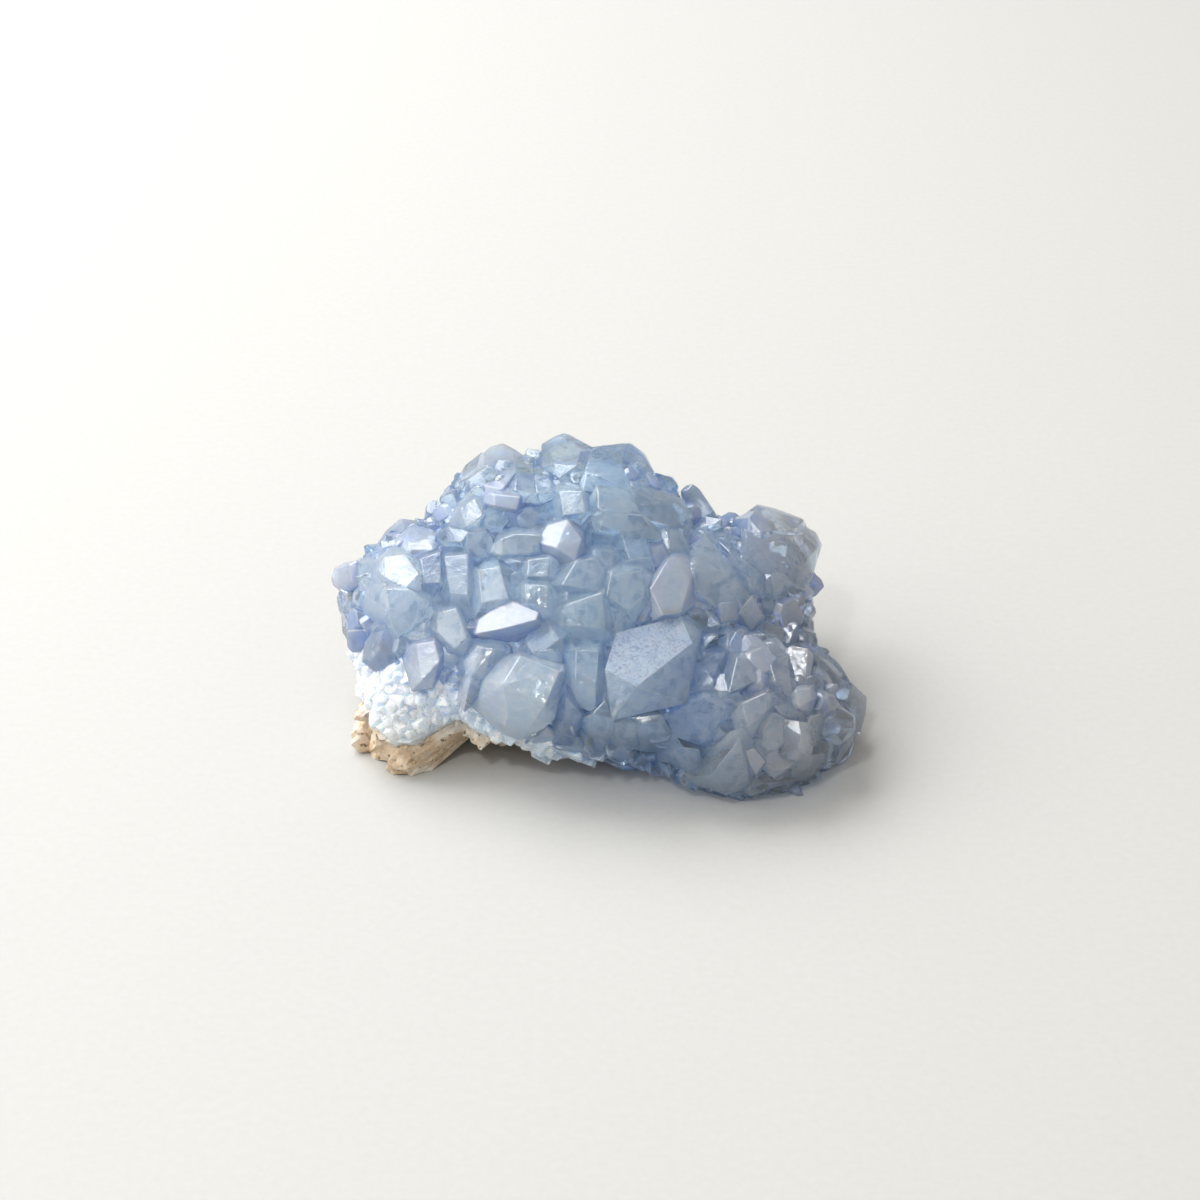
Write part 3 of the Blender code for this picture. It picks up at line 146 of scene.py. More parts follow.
# Each habit is how far a crystal's faces are from its middle, as shares of its half size, with
# None for faces it hasn't got: top, prism, side, front, side slope, front slope, corner slope.
HABITS = {
    "block": (0.80, None, 0.90, 0.86, 1.06, None, 1.04),
    "slab": (0.72, 0.94, None, 0.84, 1.02, None, None),
    "wedge": (None, None, 0.92, 0.86, 0.80, None, 1.02),
    "peak": (None, 0.90, 0.95, None, None, 0.92, 0.82),
    "dome": (0.90, 0.92, None, 0.92, 0.92, None, 0.94),
}
PRISM_ANGLE = math.radians(39)
SLOPE_ANGLE = math.radians(50)
CORNER_SLOPE = (0.6, 0.5, 0.62)  # the way that a corner slope faces, for one of the four corners
UNEVEN_DISTANCE = 0.07
UNEVEN_ANGLE = 0.05
ROOT_SHARE = 0.55  # of a crystal's width, set in the crust

# The crystals whose faces can be told apart from the front: each has its tone, from dark to white,
# its outline across and up the picture plane, and the corners of its crown, which also rise toward
# the viewer from the body's skin.
SHAPED_CRYSTALS = (
    # Large one with the etched face
    (0.55, ((0.6, -10.4), (2.4, -4.8), (12.2, -2.1), (14.5, -1.9), (15.4, -4.9), (14.5, -10.4),
            (13, -15.4), (6, -17.3), (1.8, -17.9), (1, -14.9)),
     ((0.7, -10.4, 4.3), (2.4, -4.8, 3.2), (12.1, -2.4, 4.2), (13.9, -6.4, 5.4),
      (10.6, -8.9, 5.5), (5.4, -13, 5.6))),
    # Large pale one
    (0.8, ((-12.1, -7.5), (-5.4, -9.5), (-4.9, -10.6), (-6.6, -17.6), (-8.2, -19.1),
           (-11.9, -21), (-14.6, -20.1), (-19.4, -15.8), (-18.5, -11.9), (-14.6, -8.6)),
     ((-11.9, -8.3, 3.6), (-6, -10.7, 4.4), (-8.2, -15.5, 5), (-14.5, -12.5, 5.2),
      (-13.7, -16.7, 4.2))),
    # White slab
    (1.0, ((-18.3, -4.6), (-17.7, -3.1), (-13.7, -0.3), (-9.8, -2.2), (-9.8, -4.3),
           (-12.7, -5.7), (-16.4, -5.7)),
     ((-17.7, -4.8, 4.4), (-17.3, -3.1, 3.4), (-13.9, -0.6, 3), (-10.1, -2.2, 4),
      (-10.4, -3.1, 4.8), (-14.6, -4.2, 5))),
    # Rounded, left of the pale one
    (0.7, ((-20.7, -8.6), (-19.5, -6.1), (-16.8, -5.4), (-14.9, -6.6), (-13.9, -8.5),
           (-16.8, -11.3), (-19.7, -15.1), (-20.4, -13.4)),
     ((-18.2, -7.5, 3.4), (-16.1, -7.7, 3.6), (-18.8, -10.7, 3))),
    # Shield
    (0.4, ((-5.5, -8.2), (-4.2, -6.4), (-0.3, -6.1), (0.6, -8.9), (0.7, -11.9), (-1, -15.4),
           (-3.3, -14.5), (-5.1, -11.5)),
     ((-3.3, -8, 4.4), (-0.7, -8.2, 4.4), (-1, -13.1, 3.4), (-3.4, -11.6, 3.6))),
    # Above the shield
    (0.5, ((-7, -1.9), (-4.5, 0.3), (0, 1.8), (1, 0), (1, -4.8), (-0.4, -6.1), (-3.4, -5.1),
           (-6.3, -3.6)),
     ((-4, -0.9, 4.4), (-0.3, 0.4, 4.8), (0.1, -3.9, 4.2), (-3, -3.6, 4.2))),
    # Grey wedge
    (0.35, ((0.9, 0), (3.3, -0.6), (5.5, -3.9), (1.8, -6), (0.6, -4.8)),
     ((1.8, -1.5, 3.2), (3.3, -2.1, 3.2), (2.4, -4.2, 2.8))),
    # Face above the hero
    (0.55, ((0.3, 1.5), (0.9, 3.9), (3, 5.1), (6, 4.9), (7.5, 3), (7.3, 0.9), (6, -1.2),
            (4.6, -2.7), (3.3, -1.3), (1.2, -0.4)),
     ((2.1, 3.4, 4.6), (5.7, 3.7, 4.8), (6, 0.9, 4.2), (4.2, -0.9, 3.4), (1.6, 0.7, 4))),
    # Bright striped block
    (0.95, ((7.9, 2.5), (10, 5.7), (11.5, 6.3), (13.7, 5.4), (14.3, 3.4), (14, 0.3),
            (12.1, -1.6), (8.6, -1.9)),
     ((10.4, 5.4, 4.2), (11.2, 5.5, 4.4), (13.1, 3, 4.8), (11.9, -1, 4.4), (9.8, -1.3, 4.2),
      (8.3, 1.8, 4))),
    # Serrated peak
    (0.65, ((12.7, 5.7), (13.7, 7.6), (14.9, 9.2), (16.1, 9.8), (17.4, 8.5), (18.5, 5.7),
            (21.3, 1.6), (20.3, 0.1), (17.1, 0.3), (14.3, 1.8)),
     ((14.5, 4.3, 4.4), (18.2, 4.5, 4.6), (17.1, 7.2, 4.4), (15.8, 8.8, 3.4), (19.7, 1.5, 3),
      (14.9, 2.1, 3))),
    # Slab on the right crest
    (0.45, ((21.3, 11.8), (22.1, 13.4), (23.4, 14.3), (26.2, 13.7), (30.1, 12.2), (30.8, 11),
            (28.3, 9.5), (24.4, 9.5), (22.1, 10.4)),
     ((22.7, 12.8, 3), (23.8, 13.6, 2.8), (29.4, 11.9, 3.2), (28.3, 10.4, 4), (24.1, 10.7, 4))),
    # Large one on the right crest
    (0.4, ((22.7, 9.8), (26.8, 10.1), (30.7, 11), (32.2, 10.1), (33.1, 8.2), (32.5, 6.3),
           (30.7, 3.6), (28.9, 2.1), (26.4, 3.9), (24.1, 4.8), (22.7, 6.6)),
     ((24.6, 8.5, 4.2), (29.8, 9.2, 4.4), (31.6, 7.7, 4), (29.2, 4.5, 3.8), (25.6, 6.3, 4.4))),
    # Beside the serrated peak
    (0.3, ((18.2, 8.2), (20.1, 7.7), (23.5, 5.1), (25.3, 3), (23.8, 1.2), (21.6, 1.2),
           (19.4, 3.7)),
     ((19.7, 6.7, 3.4), (23.1, 4.2, 3.8), (22.7, 2.4, 3.4))),
    # Under the large right one
    (0.35, ((24.1, 3.7), (26.8, 4.5), (28.9, 2.1), (26.5, 0.3), (25, 0.4), (23.8, 1.5)),
     ((25.6, 3.4, 3.4), (27.4, 2.7, 3.2), (25.9, 1.2, 2.8))),
    # Left of a pair on the right
    (0.8, ((17.3, -1.5), (18.2, 0.1), (20.6, 0.1), (21, -2.7), (19.1, -3.9), (17.9, -4.2),
           (17.4, -3)),
     ((18, -0.9, 3.8), (20.1, -0.6, 4), (20, -2.7, 3.6), (18.2, -3.1, 3.4))),
    # Right of a pair on the right
    (0.9, ((20.7, -1), (22.7, 0.4), (23.8, -0.9), (24.7, -2.7), (23.8, -4.2), (22.1, -4.9),
           (20.9, -3.9)),
     ((22.7, -0.1, 4), (24, -2.4, 4.4), (22.5, -4.2, 3.4), (21.2, -1.8, 4.2))),
    # Below the pair
    (0.75, ((17.9, -6), (18.9, -4.2), (21.2, -3.7), (22.2, -4.9), (21.9, -7.5), (20.1, -8.3),
            (18.6, -7.5)),
     ((19.2, -4.9, 3.6), (21.2, -4.6, 3.8), (21.2, -7.2, 3.4), (19.2, -6.9, 3.2))),
    # Steep face under the pair
    (0.35, ((19.1, -8.3), (21.6, -8), (23.5, -11.9), (20.7, -13.4), (18.2, -14.6),
            (17.9, -13.4), (18.6, -10.1)),
     ((20.3, -9.1, 4.2), (21.9, -9.5, 4.2), (22.7, -11.8, 4), (19.4, -13.3, 3.4))),
    # Upright on the right
    (0.5, ((24.3, -10.4), (25.2, -8.5), (28, -8), (28.6, -11.2), (28.3, -13.9), (26.7, -13.1),
           (25, -12.5)),
     ((25.5, -9.5, 3.8), (27.7, -8.8, 4), (28, -11.9, 3.2), (26.2, -11.9, 3.4))),
    # Striped blue one
    (0.45, ((20, -17.3), (20.6, -15.5), (22.7, -14.3), (24.7, -13.4), (25.8, -15.2),
            (24.7, -17.3), (22.7, -19.7), (20.9, -19.2)),
     ((21.5, -15.6, 3.8), (24.4, -14.3, 4.2), (24.3, -16.7, 4), (22.1, -18.3, 3.4))),
    # White, right
    (1.0, ((28.2, -14.5), (29.7, -13), (31.6, -13), (32.3, -14.6), (30.8, -16.8), (29.1, -16.2)),
     ((29.4, -13.7, 3.6), (31.1, -13.4, 3.6), (31, -14.9, 3.8), (29.8, -15.8, 3.4))),
    # Bright tip, right
    (1.0, ((34.1, -15.6), (35, -14.6), (36.2, -16.1), (36.2, -17.3), (35, -18.3), (34.1, -17.1)),
     ((34.9, -15.4, 3), (35.9, -16.5, 3.2), (34.9, -17.6, 2.8))),
    # Lobe, right
    (0.7, ((30.3, -18.2), (31.6, -16.7), (32.8, -16.4), (33.4, -18.2), (32.6, -20), (31, -20.4)),
     ((31.4, -17.6, 3.4), (32.6, -17.3, 3.4), (32.2, -19.4, 3))),
    # Far right mass
    (0.3, ((33.1, -9.5), (34.6, -9.5), (37.6, -12.2), (39.8, -14.5), (39.6, -17), (38.9, -19.7),
           (37, -21.5), (35.2, -19.4), (34.6, -14.9)),
     ((35.5, -11.9, 2.4), (38.2, -14.9, 2.6), (37.6, -18.5, 2.4))),
    # Far right foot
    (0.3, ((33.1, -23.2), (35.5, -21.2), (37.9, -21.2), (37.3, -24.7), (34.9, -25.5),
           (32.8, -25)),
     ((34.3, -23.2, 2.2), (36.7, -22.4, 2.2), (35.8, -24.4, 1.8))),
    # Lower right
    (0.6, ((28.3, -24.7), (29.2, -22.8), (32, -22.4), (33.4, -23.4), (32.2, -26.2), (30.6, -27),
           (28.9, -26.4)),
     ((29.8, -23.5, 3), (32.2, -23.4, 3), (31, -25.6, 2.4))),
    # Bottom right foot
    (0.6, ((21.2, -29.1), (22.1, -26.8), (26.1, -26.4), (28.5, -27.1), (27.7, -28.6),
           (25, -29.7), (22.4, -29.8)),
     ((23.2, -27.6, 2.4), (26.8, -27.3, 2.4), (25, -28.8, 1.8))),
    # Bottom peak
    (0.5, ((13.3, -26.4), (15.4, -24.1), (19.1, -20.9), (20.6, -20.3), (21.9, -21.8),
           (22.4, -24.7), (21.5, -27.1), (20.6, -28.6), (18.5, -28.8), (15.2, -27.7)),
     ((20.4, -21.6, 3.6), (21.2, -25.3, 4.6), (17.1, -25.8, 5), (18.9, -28.2, 3),
      (14.8, -26.4, 2.8))),
    # Bright beside the bottom peak
    (1.0, ((21.5, -22.7), (23, -22.2), (24.6, -24.1), (23.4, -26.1), (22.7, -25.9)),
     ((21.9, -22.8, 3.8), (23, -22.5, 3.6), (24.3, -24.1, 3.8), (23.2, -25.6, 3.8),
      (22.4, -24.4, 4.2))),
    # Big dull face
    (0.15, ((6.7, -18.2), (10.1, -15.5), (14.9, -13.3), (18.2, -13.7), (20.3, -15.8),
            (20, -18.8), (17.9, -21.3), (13.4, -22.4), (8.9, -22.1), (6.7, -20.6)),
     ((9.5, -17.6, 2), (15.4, -14.6, 2.6), (18.5, -16.1, 2.6), (16.7, -20.3, 2.2),
      (10.1, -20.6, 1.8))),
    # Left crest
    (0.85, ((-18, 21.3), (-16.5, 22.8), (-14.5, 23.4), (-12.7, 22.5), (-11.9, 21),
            (-12.5, 18.8), (-14.2, 16.5), (-16.8, 16.2), (-17.9, 18.6)),
     ((-16.8, 21.6, 2.6), (-13.4, 21.6, 2.8), (-13.1, 19.2, 3.8), (-14.6, 17.3, 3.6),
      (-16.8, 17.7, 3.6))),
    # Left of the crest
    (0.75, ((-21.2, 18.2), (-20.1, 20.1), (-17.9, 21.2), (-16.4, 19.7), (-16.8, 16.4),
            (-19.4, 15.4), (-21.2, 16.4)),
     ((-20, 18.6, 2.8), (-18, 19.7, 3), (-17.9, 17, 3.4), (-19.8, 16.7, 3.2))),
    # Pale leaf
    (0.8, ((-17.3, 14.6), (-15.8, 16.2), (-13.1, 16.7), (-11.6, 15.4), (-11.8, 13.9),
           (-12.2, 13), (-14.5, 13.3), (-16.4, 13.6)),
     ((-15.5, 15.5, 3.6), (-12.4, 15.2, 4), (-12.8, 13.7, 3.6), (-15.4, 14.2, 3.6))),
    # Right of the left crest
    (0.6, ((-13.1, 18.5), (-12.2, 20.6), (-10.3, 20.4), (-9.2, 18.2), (-9.1, 15.4),
           (-11.8, 15.2), (-13.7, 16.7)),
     ((-12.1, 19.4, 3), (-10.4, 19.4, 3.2), (-10.1, 16.4, 3.6), (-12.4, 16.7, 3.4))),
    # Middle crest
    (0.6, ((-8.8, 23.2), (-7, 24.3), (-5.4, 24.9), (-4.3, 24.6), (-2.1, 22.7), (-2.8, 20),
           (-6, 19.1), (-8, 20.6)),
     ((-7.2, 23.2, 2.2), (-5.1, 24, 2.2), (-3.3, 22.4, 2.8), (-4, 20.4, 3.4), (-6.6, 20.7, 3.2))),
    # Dark crest
    (0.1, ((-2.8, 18.8), (-1.8, 22.7), (0.6, 23.1), (2.8, 22.1), (3.3, 19.7), (3.9, 16.8),
           (0.7, 17.9), (-1.8, 17)),
     ((-0.9, 21.8, 2.2), (1.8, 21.5, 2.4), (2.5, 19.1, 3.2), (0.1, 18.8, 3.6), (-1.6, 19.1, 3.2))),
    # Dark right crest
    (0.15, ((1.8, 22.4), (3, 23.4), (4.6, 23.4), (6.7, 21.8), (7.5, 20.3), (7.9, 18.5),
            (7, 16.2), (4.5, 16.4), (3, 19.1)),
     ((3.6, 22.5, 2.2), (6.3, 21, 2.6), (6.7, 18.5, 3.4), (4.9, 17.6, 3.6), (3.6, 20, 3))),
    # Long slab
    (0.5, ((0, 14.8), (0.9, 16.5), (3, 16.7), (7.2, 16.1), (10.9, 14.8), (11.9, 12.7),
           (10.1, 9.5), (8.2, 10.4), (3.7, 13.1), (0.3, 12.8)),
     ((0.9, 15.5, 3.2), (3.3, 15.9, 3.2), (10, 14.3, 3.4), (9.2, 11.6, 4), (3.6, 13.9, 4.4),
      (0.9, 13.7, 3.8))),
    # Rounded under the long slab
    (0.65, ((0, 11.9), (1.8, 13.4), (6, 13.1), (8.2, 11.5), (9.4, 9.4), (8.5, 8.2), (6.7, 8.8),
            (3, 10.6), (0.4, 10.3)),
     ((1.8, 12.7, 4.2), (6, 12.2, 4.8), (8.3, 9.4, 3.8), (6.7, 9.5, 3.8), (1.2, 11, 3.6))),
    # Dark block
    (0.3, ((2.5, 10), (3.1, 10.6), (6.3, 10.4), (7.5, 6.7), (7.7, 4.2), (6, 5.7), (3.9, 5.4),
           (2.4, 7.7)),
     ((3.4, 10, 4.4), (6.1, 9.8, 4.6), (7, 6.6, 4), (4.5, 6.3, 3.8))),
    # White one in the middle
    (1.0, ((-9.5, 8.5), (-8.8, 9.7), (-7, 11.3), (-5.1, 11.9), (-3.1, 10.4), (-2.8, 7),
           (-4.6, 5.1), (-6, 5.1), (-8.2, 7)),
     ((-7.5, 10.6, 4.2), (-5.1, 11.3, 4.6), (-3.4, 8.9, 4.8), (-4.2, 6.4, 4.2),
      (-6.4, 7.9, 5.4), (-8.8, 8.6, 3.8))),
    # Large left-leaning block
    (0.6, ((-7, 2.5), (-5.7, 4.8), (-3.4, 6), (-1.2, 6.4), (0.3, 4.3), (0.1, 1.9), (-1.5, 0.9),
           (-4.8, 1.2)),
     ((-3.4, 5.4, 4.6), (-1.2, 5.7, 4.8), (-0.3, 4.2, 4.8), (-1.3, 1.8, 4.2), (-5.1, 2.5, 4.4))),
    # Pale, middle
    (0.75, ((-11.8, 5.1), (-10.4, 6.4), (-8, 6.7), (-5.8, 5.5), (-7, 3.4), (-8.2, 2.5),
            (-10.9, 3)),
     ((-10.3, 5.7, 4), (-7.7, 6, 4.2), (-8, 3.7, 3.8), (-10.4, 3.9, 3.8))),
    # Round, middle
    (0.6, ((-2.1, 6.1), (-1.3, 7.7), (0.7, 8.3), (2.2, 7.6), (3.1, 6), (2.7, 4), (0.4, 3.6),
           (-1.5, 4.8)),
     ((-0.6, 7.2, 4), (1.6, 7, 4.2), (1.6, 4.8, 3.6), (-0.6, 5.1, 3.6))),
    # Pale with a streak
    (0.75, ((-16.4, 7.6), (-14.6, 9.7), (-13, 10.4), (-8.9, 10.1), (-9.2, 7.2), (-12.2, 6.3),
            (-14.9, 6.1)),
     ((-14.3, 8.9, 3.8), (-12.7, 9.5, 4), (-9.7, 9.4, 4.4), (-10.4, 7.3, 4), (-14.3, 7, 3.4))),
    # Deep blue
    (0.0, ((-25, 9.4), (-23.8, 10.3), (-22.5, 11.2), (-19.7, 10.4), (-19.2, 8.8), (-20.4, 7.5),
           (-22.8, 7.5), (-23.7, 8.9)),
     ((-23.7, 9.7, 3.6), (-22.5, 10.6, 4), (-20.1, 10, 4), (-20.9, 8.8, 4.4), (-23.2, 8.8, 4.2))),
    # Tall blue
    (0.2, ((-23.7, 5.7), (-21.6, 7.3), (-19.4, 6.7), (-18.8, 1.5), (-19.7, -1.6), (-22.1, -0.9),
           (-23.5, 1.5)),
     ((-22.8, 5.7, 4.6), (-20, 6, 5), (-20, 1.2, 4.2), (-22.1, 1.5, 4.2))),
    # Blue block, left
    (0.25, ((-27.3, 6), (-25.3, 7.3), (-23.7, 7.6), (-23.4, 2.2), (-25.2, 1.2), (-26.8, 2.7)),
     ((-26.4, 5.8, 3.6), (-24.1, 6.6, 4), (-24.1, 3, 4), (-25.9, 3, 3.6))),
    # Round, left
    (0.7, ((-33.4, 5.1), (-32.6, 6.4), (-30.8, 7.2), (-29.1, 7), (-27.4, 5.7), (-26.7, 3.7),
           (-27.4, 1.9), (-30.3, 1.3), (-32.2, 2.8)),
     ((-31.7, 6, 3.2), (-29.2, 6.3, 3.6), (-27.6, 4, 3.8), (-29.1, 2.4, 3.4), (-31.6, 3.6, 3.4))),
    # Clear, far left
    (0.75, ((-37, 4.3), (-36.5, 5.7), (-35.3, 6.4), (-33.5, 5.7), (-32, 4), (-31.9, 2.7),
            (-33.7, 0.9), (-35.6, 0.6), (-36.8, 2.2)),
     ((-35.8, 5.2, 3), (-33.7, 4.9, 3.4), (-32.8, 3.3, 3.4), (-34.7, 1.6, 2.8),
      (-36.2, 3.1, 2.8))),
    # Clear, left end
    (0.9, ((-40.1, 3.3), (-39.6, 4.8), (-38, 5.7), (-36.7, 5.4), (-36.7, 2.4), (-38.3, 1.5),
           (-39.8, 2.1)),
     ((-39, 4.5, 2.4), (-37.6, 4.9, 2.6), (-37.3, 3, 2.4), (-38.7, 2.7, 2.2))),
    # Large on the left
    (0.35, ((-32.2, 0.6), (-31.3, 1.9), (-29.2, 1.5), (-26.1, 0.3), (-25.2, -2.7),
            (-26.8, -3.3), (-29.1, -5.1), (-30.3, -6.1), (-31.1, -5.1)),
     ((-31.3, 0.9, 4), (-28.6, 0.9, 4.6), (-26.2, -0.6, 4.8), (-26.8, -2.4, 4.4),
      (-29.8, -4.8, 3.4), (-30.7, -3.3, 3.8))),
    # Beside the large left one
    (0.4, ((-35, 0), (-34.6, 1.6), (-32.2, 3.1), (-31.3, 1.5), (-31.1, -2.7), (-33.4, -2.7),
           (-34.9, -1.6)),
     ((-34, 0.9, 3.2), (-32.3, 1.8, 3.4), (-32, -1.5, 3), (-33.8, -1.2, 2.8))),
    # Clear blue, left
    (0.45, ((-26.1, -3.6), (-23.8, -1.6), (-21.5, -1), (-20.3, -3), (-19.5, -6), (-20.4, -7.6),
            (-22.2, -7.7), (-24.1, -6)),
     ((-23.7, -2.4, 4.4), (-21.5, -1.9, 4.8), (-20.3, -5.4, 4), (-21.8, -6.7, 3.4),
      (-23.8, -4.8, 4))),
    # Pale, lower left
    (0.85, ((-29.2, -7.3), (-27, -6), (-25.2, -5.4), (-23.4, -7.2), (-23.7, -9.2),
            (-25.2, -12.1), (-27.7, -12.5), (-28.6, -9.2)),
     ((-27.1, -7, 3.4), (-25, -6.7, 3.6), (-24.4, -8.9, 3.4), (-26.5, -11.2, 2.8))),
    # Pale, upper left
    (0.9, ((-29.8, 8.9), (-27.9, 10.6), (-25.3, 10.7), (-23.7, 8.9), (-24.7, 7), (-27.6, 6.4),
           (-29.4, 7.2)),
     ((-28.2, 9.5, 2.8), (-25.3, 9.7, 3.2), (-25.3, 7.7, 3.4), (-28, 7.7, 3.2))),
    # White, far left crest
    (1.0, ((-33.4, 8.2), (-31.9, 10.4), (-29.7, 12.2), (-27.6, 11.9), (-28.3, 9.7),
           (-29.8, 7.7), (-32, 6.7)),
     ((-31.7, 8.9, 2.2), (-29.5, 10.9, 2.2), (-29.5, 8.8, 2.8), (-31.4, 7.6, 2.6))),
    # Pale, above the tall blue
    (0.7, ((-22.1, 11.3), (-21.2, 13.7), (-19.4, 15.5), (-17.6, 14.9), (-17.3, 12.4),
           (-18.8, 10.4), (-20.9, 10.3)),
     ((-20.7, 13.4, 3.2), (-18.9, 14.5, 3.4), (-18, 12.5, 3.8), (-19.8, 11.3, 3.6))),
    # Above the face
    (0.55, ((-6.6, 16.4), (-4.5, 17.4), (-2.2, 16.7), (-1.5, 13.7), (-3.3, 11.8), (-6, 12.2),
            (-7, 14.2)),
     ((-5.7, 15.9, 3.2), (-3.1, 15.9, 3.6), (-2.7, 13.4, 3.8), (-5.2, 13.1, 3.6))),
    # Blue, middle
    (0.45, ((-19.4, 1.2), (-18.5, 4.5), (-15.6, 5.5), (-13.1, 3.7), (-12.8, 0.3), (-14.9, -1.5),
            (-18.2, -1.8)),
     ((-17.7, 3.9, 4.2), (-15.2, 4.3, 4.4), (-14.2, 0.6, 4), (-17.3, 0, 3.8))),
    # Pale blue, middle
    (0.65, ((-12.7, 1.5), (-10.7, 3), (-7.7, 2.5), (-6.6, 0.3), (-8, -2.7), (-10.4, -1.8),
            (-12.4, -0.6)),
     ((-10.9, 1.9, 4.4), (-8.2, 1.8, 4.6), (-8.2, -0.9, 4), (-10.7, -0.4, 4))),
    # Beside the hero, right
    (0.4, ((14.9, -7.5), (18.8, -7.5), (19.1, -9.5), (17.3, -11.9), (14.9, -11.9)),
     ((15.8, -8.2, 2.6), (18.2, -8.3, 2.8), (17, -10.7, 2.4))),
    # Column left of the hero
    (0.35, ((-5.1, -13.4), (-3, -14.9), (-2.2, -17.3), (-4.2, -20.9), (-6.6, -20.6),
            (-6.6, -17.3)),
     ((-4.9, -15.2, 3), (-3.3, -17, 2.8), (-5.4, -19.7, 2.2))),
    # Blade under the hero
    (0.5, ((-2.2, -18.2), (0.6, -16.1), (2.7, -18.2), (1.8, -21.2), (0, -23.5), (-2.1, -23.5)),
     ((-0.9, -17.6, 3.2), (1.5, -18.2, 3.4), (0.6, -21.2, 2.8), (-1.2, -22.1, 2.4))),
    # Second blade
    (0.45, ((1.2, -18.5), (3.3, -17.7), (6, -17.9), (5.8, -21.5), (3.6, -24.7), (0.6, -23.5)),
     ((2.4, -18.8, 3), (5.1, -18.8, 3.2), (4.6, -21.5, 2.6), (2.7, -22.4, 2.2))),
    # Third blade
    (0.35, ((5.1, -18.5), (8.6, -18.2), (10.4, -21.2), (8.3, -24.7), (6, -25.5), (3.6, -24.1)),
     ((6.3, -19.1, 2.8), (8.3, -19.1, 2.8), (8.6, -21.8, 2.4), (6.3, -23, 2.2))),
    # Fourth blade
    (0.4, ((8.6, -22.7), (11.3, -21.2), (14, -22.7), (14.3, -25.3), (11.9, -26.7), (8.3, -25.6)),
     ((10, -23.1, 2.8), (12.2, -22.4, 3), (13.1, -24.4, 2.6), (10.7, -25, 2.2))),
    # Grey, over the arch
    (0.5, ((-0.3, -22.7), (2.4, -22.4), (4.5, -24.4), (6, -25.9), (3.3, -25.3), (0.6, -24.1)),
     ((1.2, -23.1, 2.2), (3.3, -24.4, 2.2), (2.1, -23.8, 2.4))),
    # Grey, over the foot
    (0.45, ((10.1, -25.6), (13.7, -25), (15.8, -27.1), (16.7, -28), (14.6, -28.2), (10.7, -26.8)),
     ((12.2, -25.8, 2.2), (14.6, -27.1, 2.2), (13.1, -26.8, 2))),
    # Pale, over the arch
    (0.8, ((-6.6, -20.6), (-4.2, -19.4), (-2.7, -21.5), (-1.8, -23.4), (-4.2, -23), (-6, -22.1)),
     ((-5.2, -20.7, 2.2), (-3.6, -21.5, 2.4), (-4.2, -22.4, 2))),
    # Pale, left of that
    (0.85, ((-10.7, -20.6), (-8, -19.5), (-6, -20.6), (-5.7, -22.1), (-8.2, -22.2),
            (-10.4, -21.8)),
     ((-9.2, -20.6, 2.2), (-7.2, -20.6, 2.2), (-8, -21.6, 1.8))),
    # Between the crests
    (0.5, ((-11, 17.9), (-9.8, 20.4), (-8, 20.6), (-6.6, 18.8), (-6.6, 16.1), (-8.9, 15.2)),
     ((-9.7, 19.1, 3), (-7.9, 19.4, 3), (-7.5, 16.7, 3.4), (-9.2, 16.4, 3.4))),
    # Behind the long slab
    (0.4, ((7.2, 18.2), (8.9, 17.9), (11.3, 15.8), (11.3, 14.6), (8.2, 15.8), (6.6, 16.4)),
     ((8.3, 17.3, 2.2), (10.1, 15.8, 2.4), (8.3, 16.4, 2.6))),
)
OUTLINE_RISE = 1.2  # of an outline's corners from the body's skin
OUTLINE_GROWTH = 1.3  # so that neighbours run into each other, but not beyond the outline
CROWN_GROWTH = 1.25
FREE_SIZE = 10  # from which a crystal stands free, and isn't grown
CROWN_RISE = 1.1  # share of the read rises
ROOT_DEPTH = 5  # how deep the root of a crystal is set in the body
ROOT_TAPER = 0.55
LEAST_FACING = 0.6  # limits how steeply a crystal follows skin that turns away from the viewer

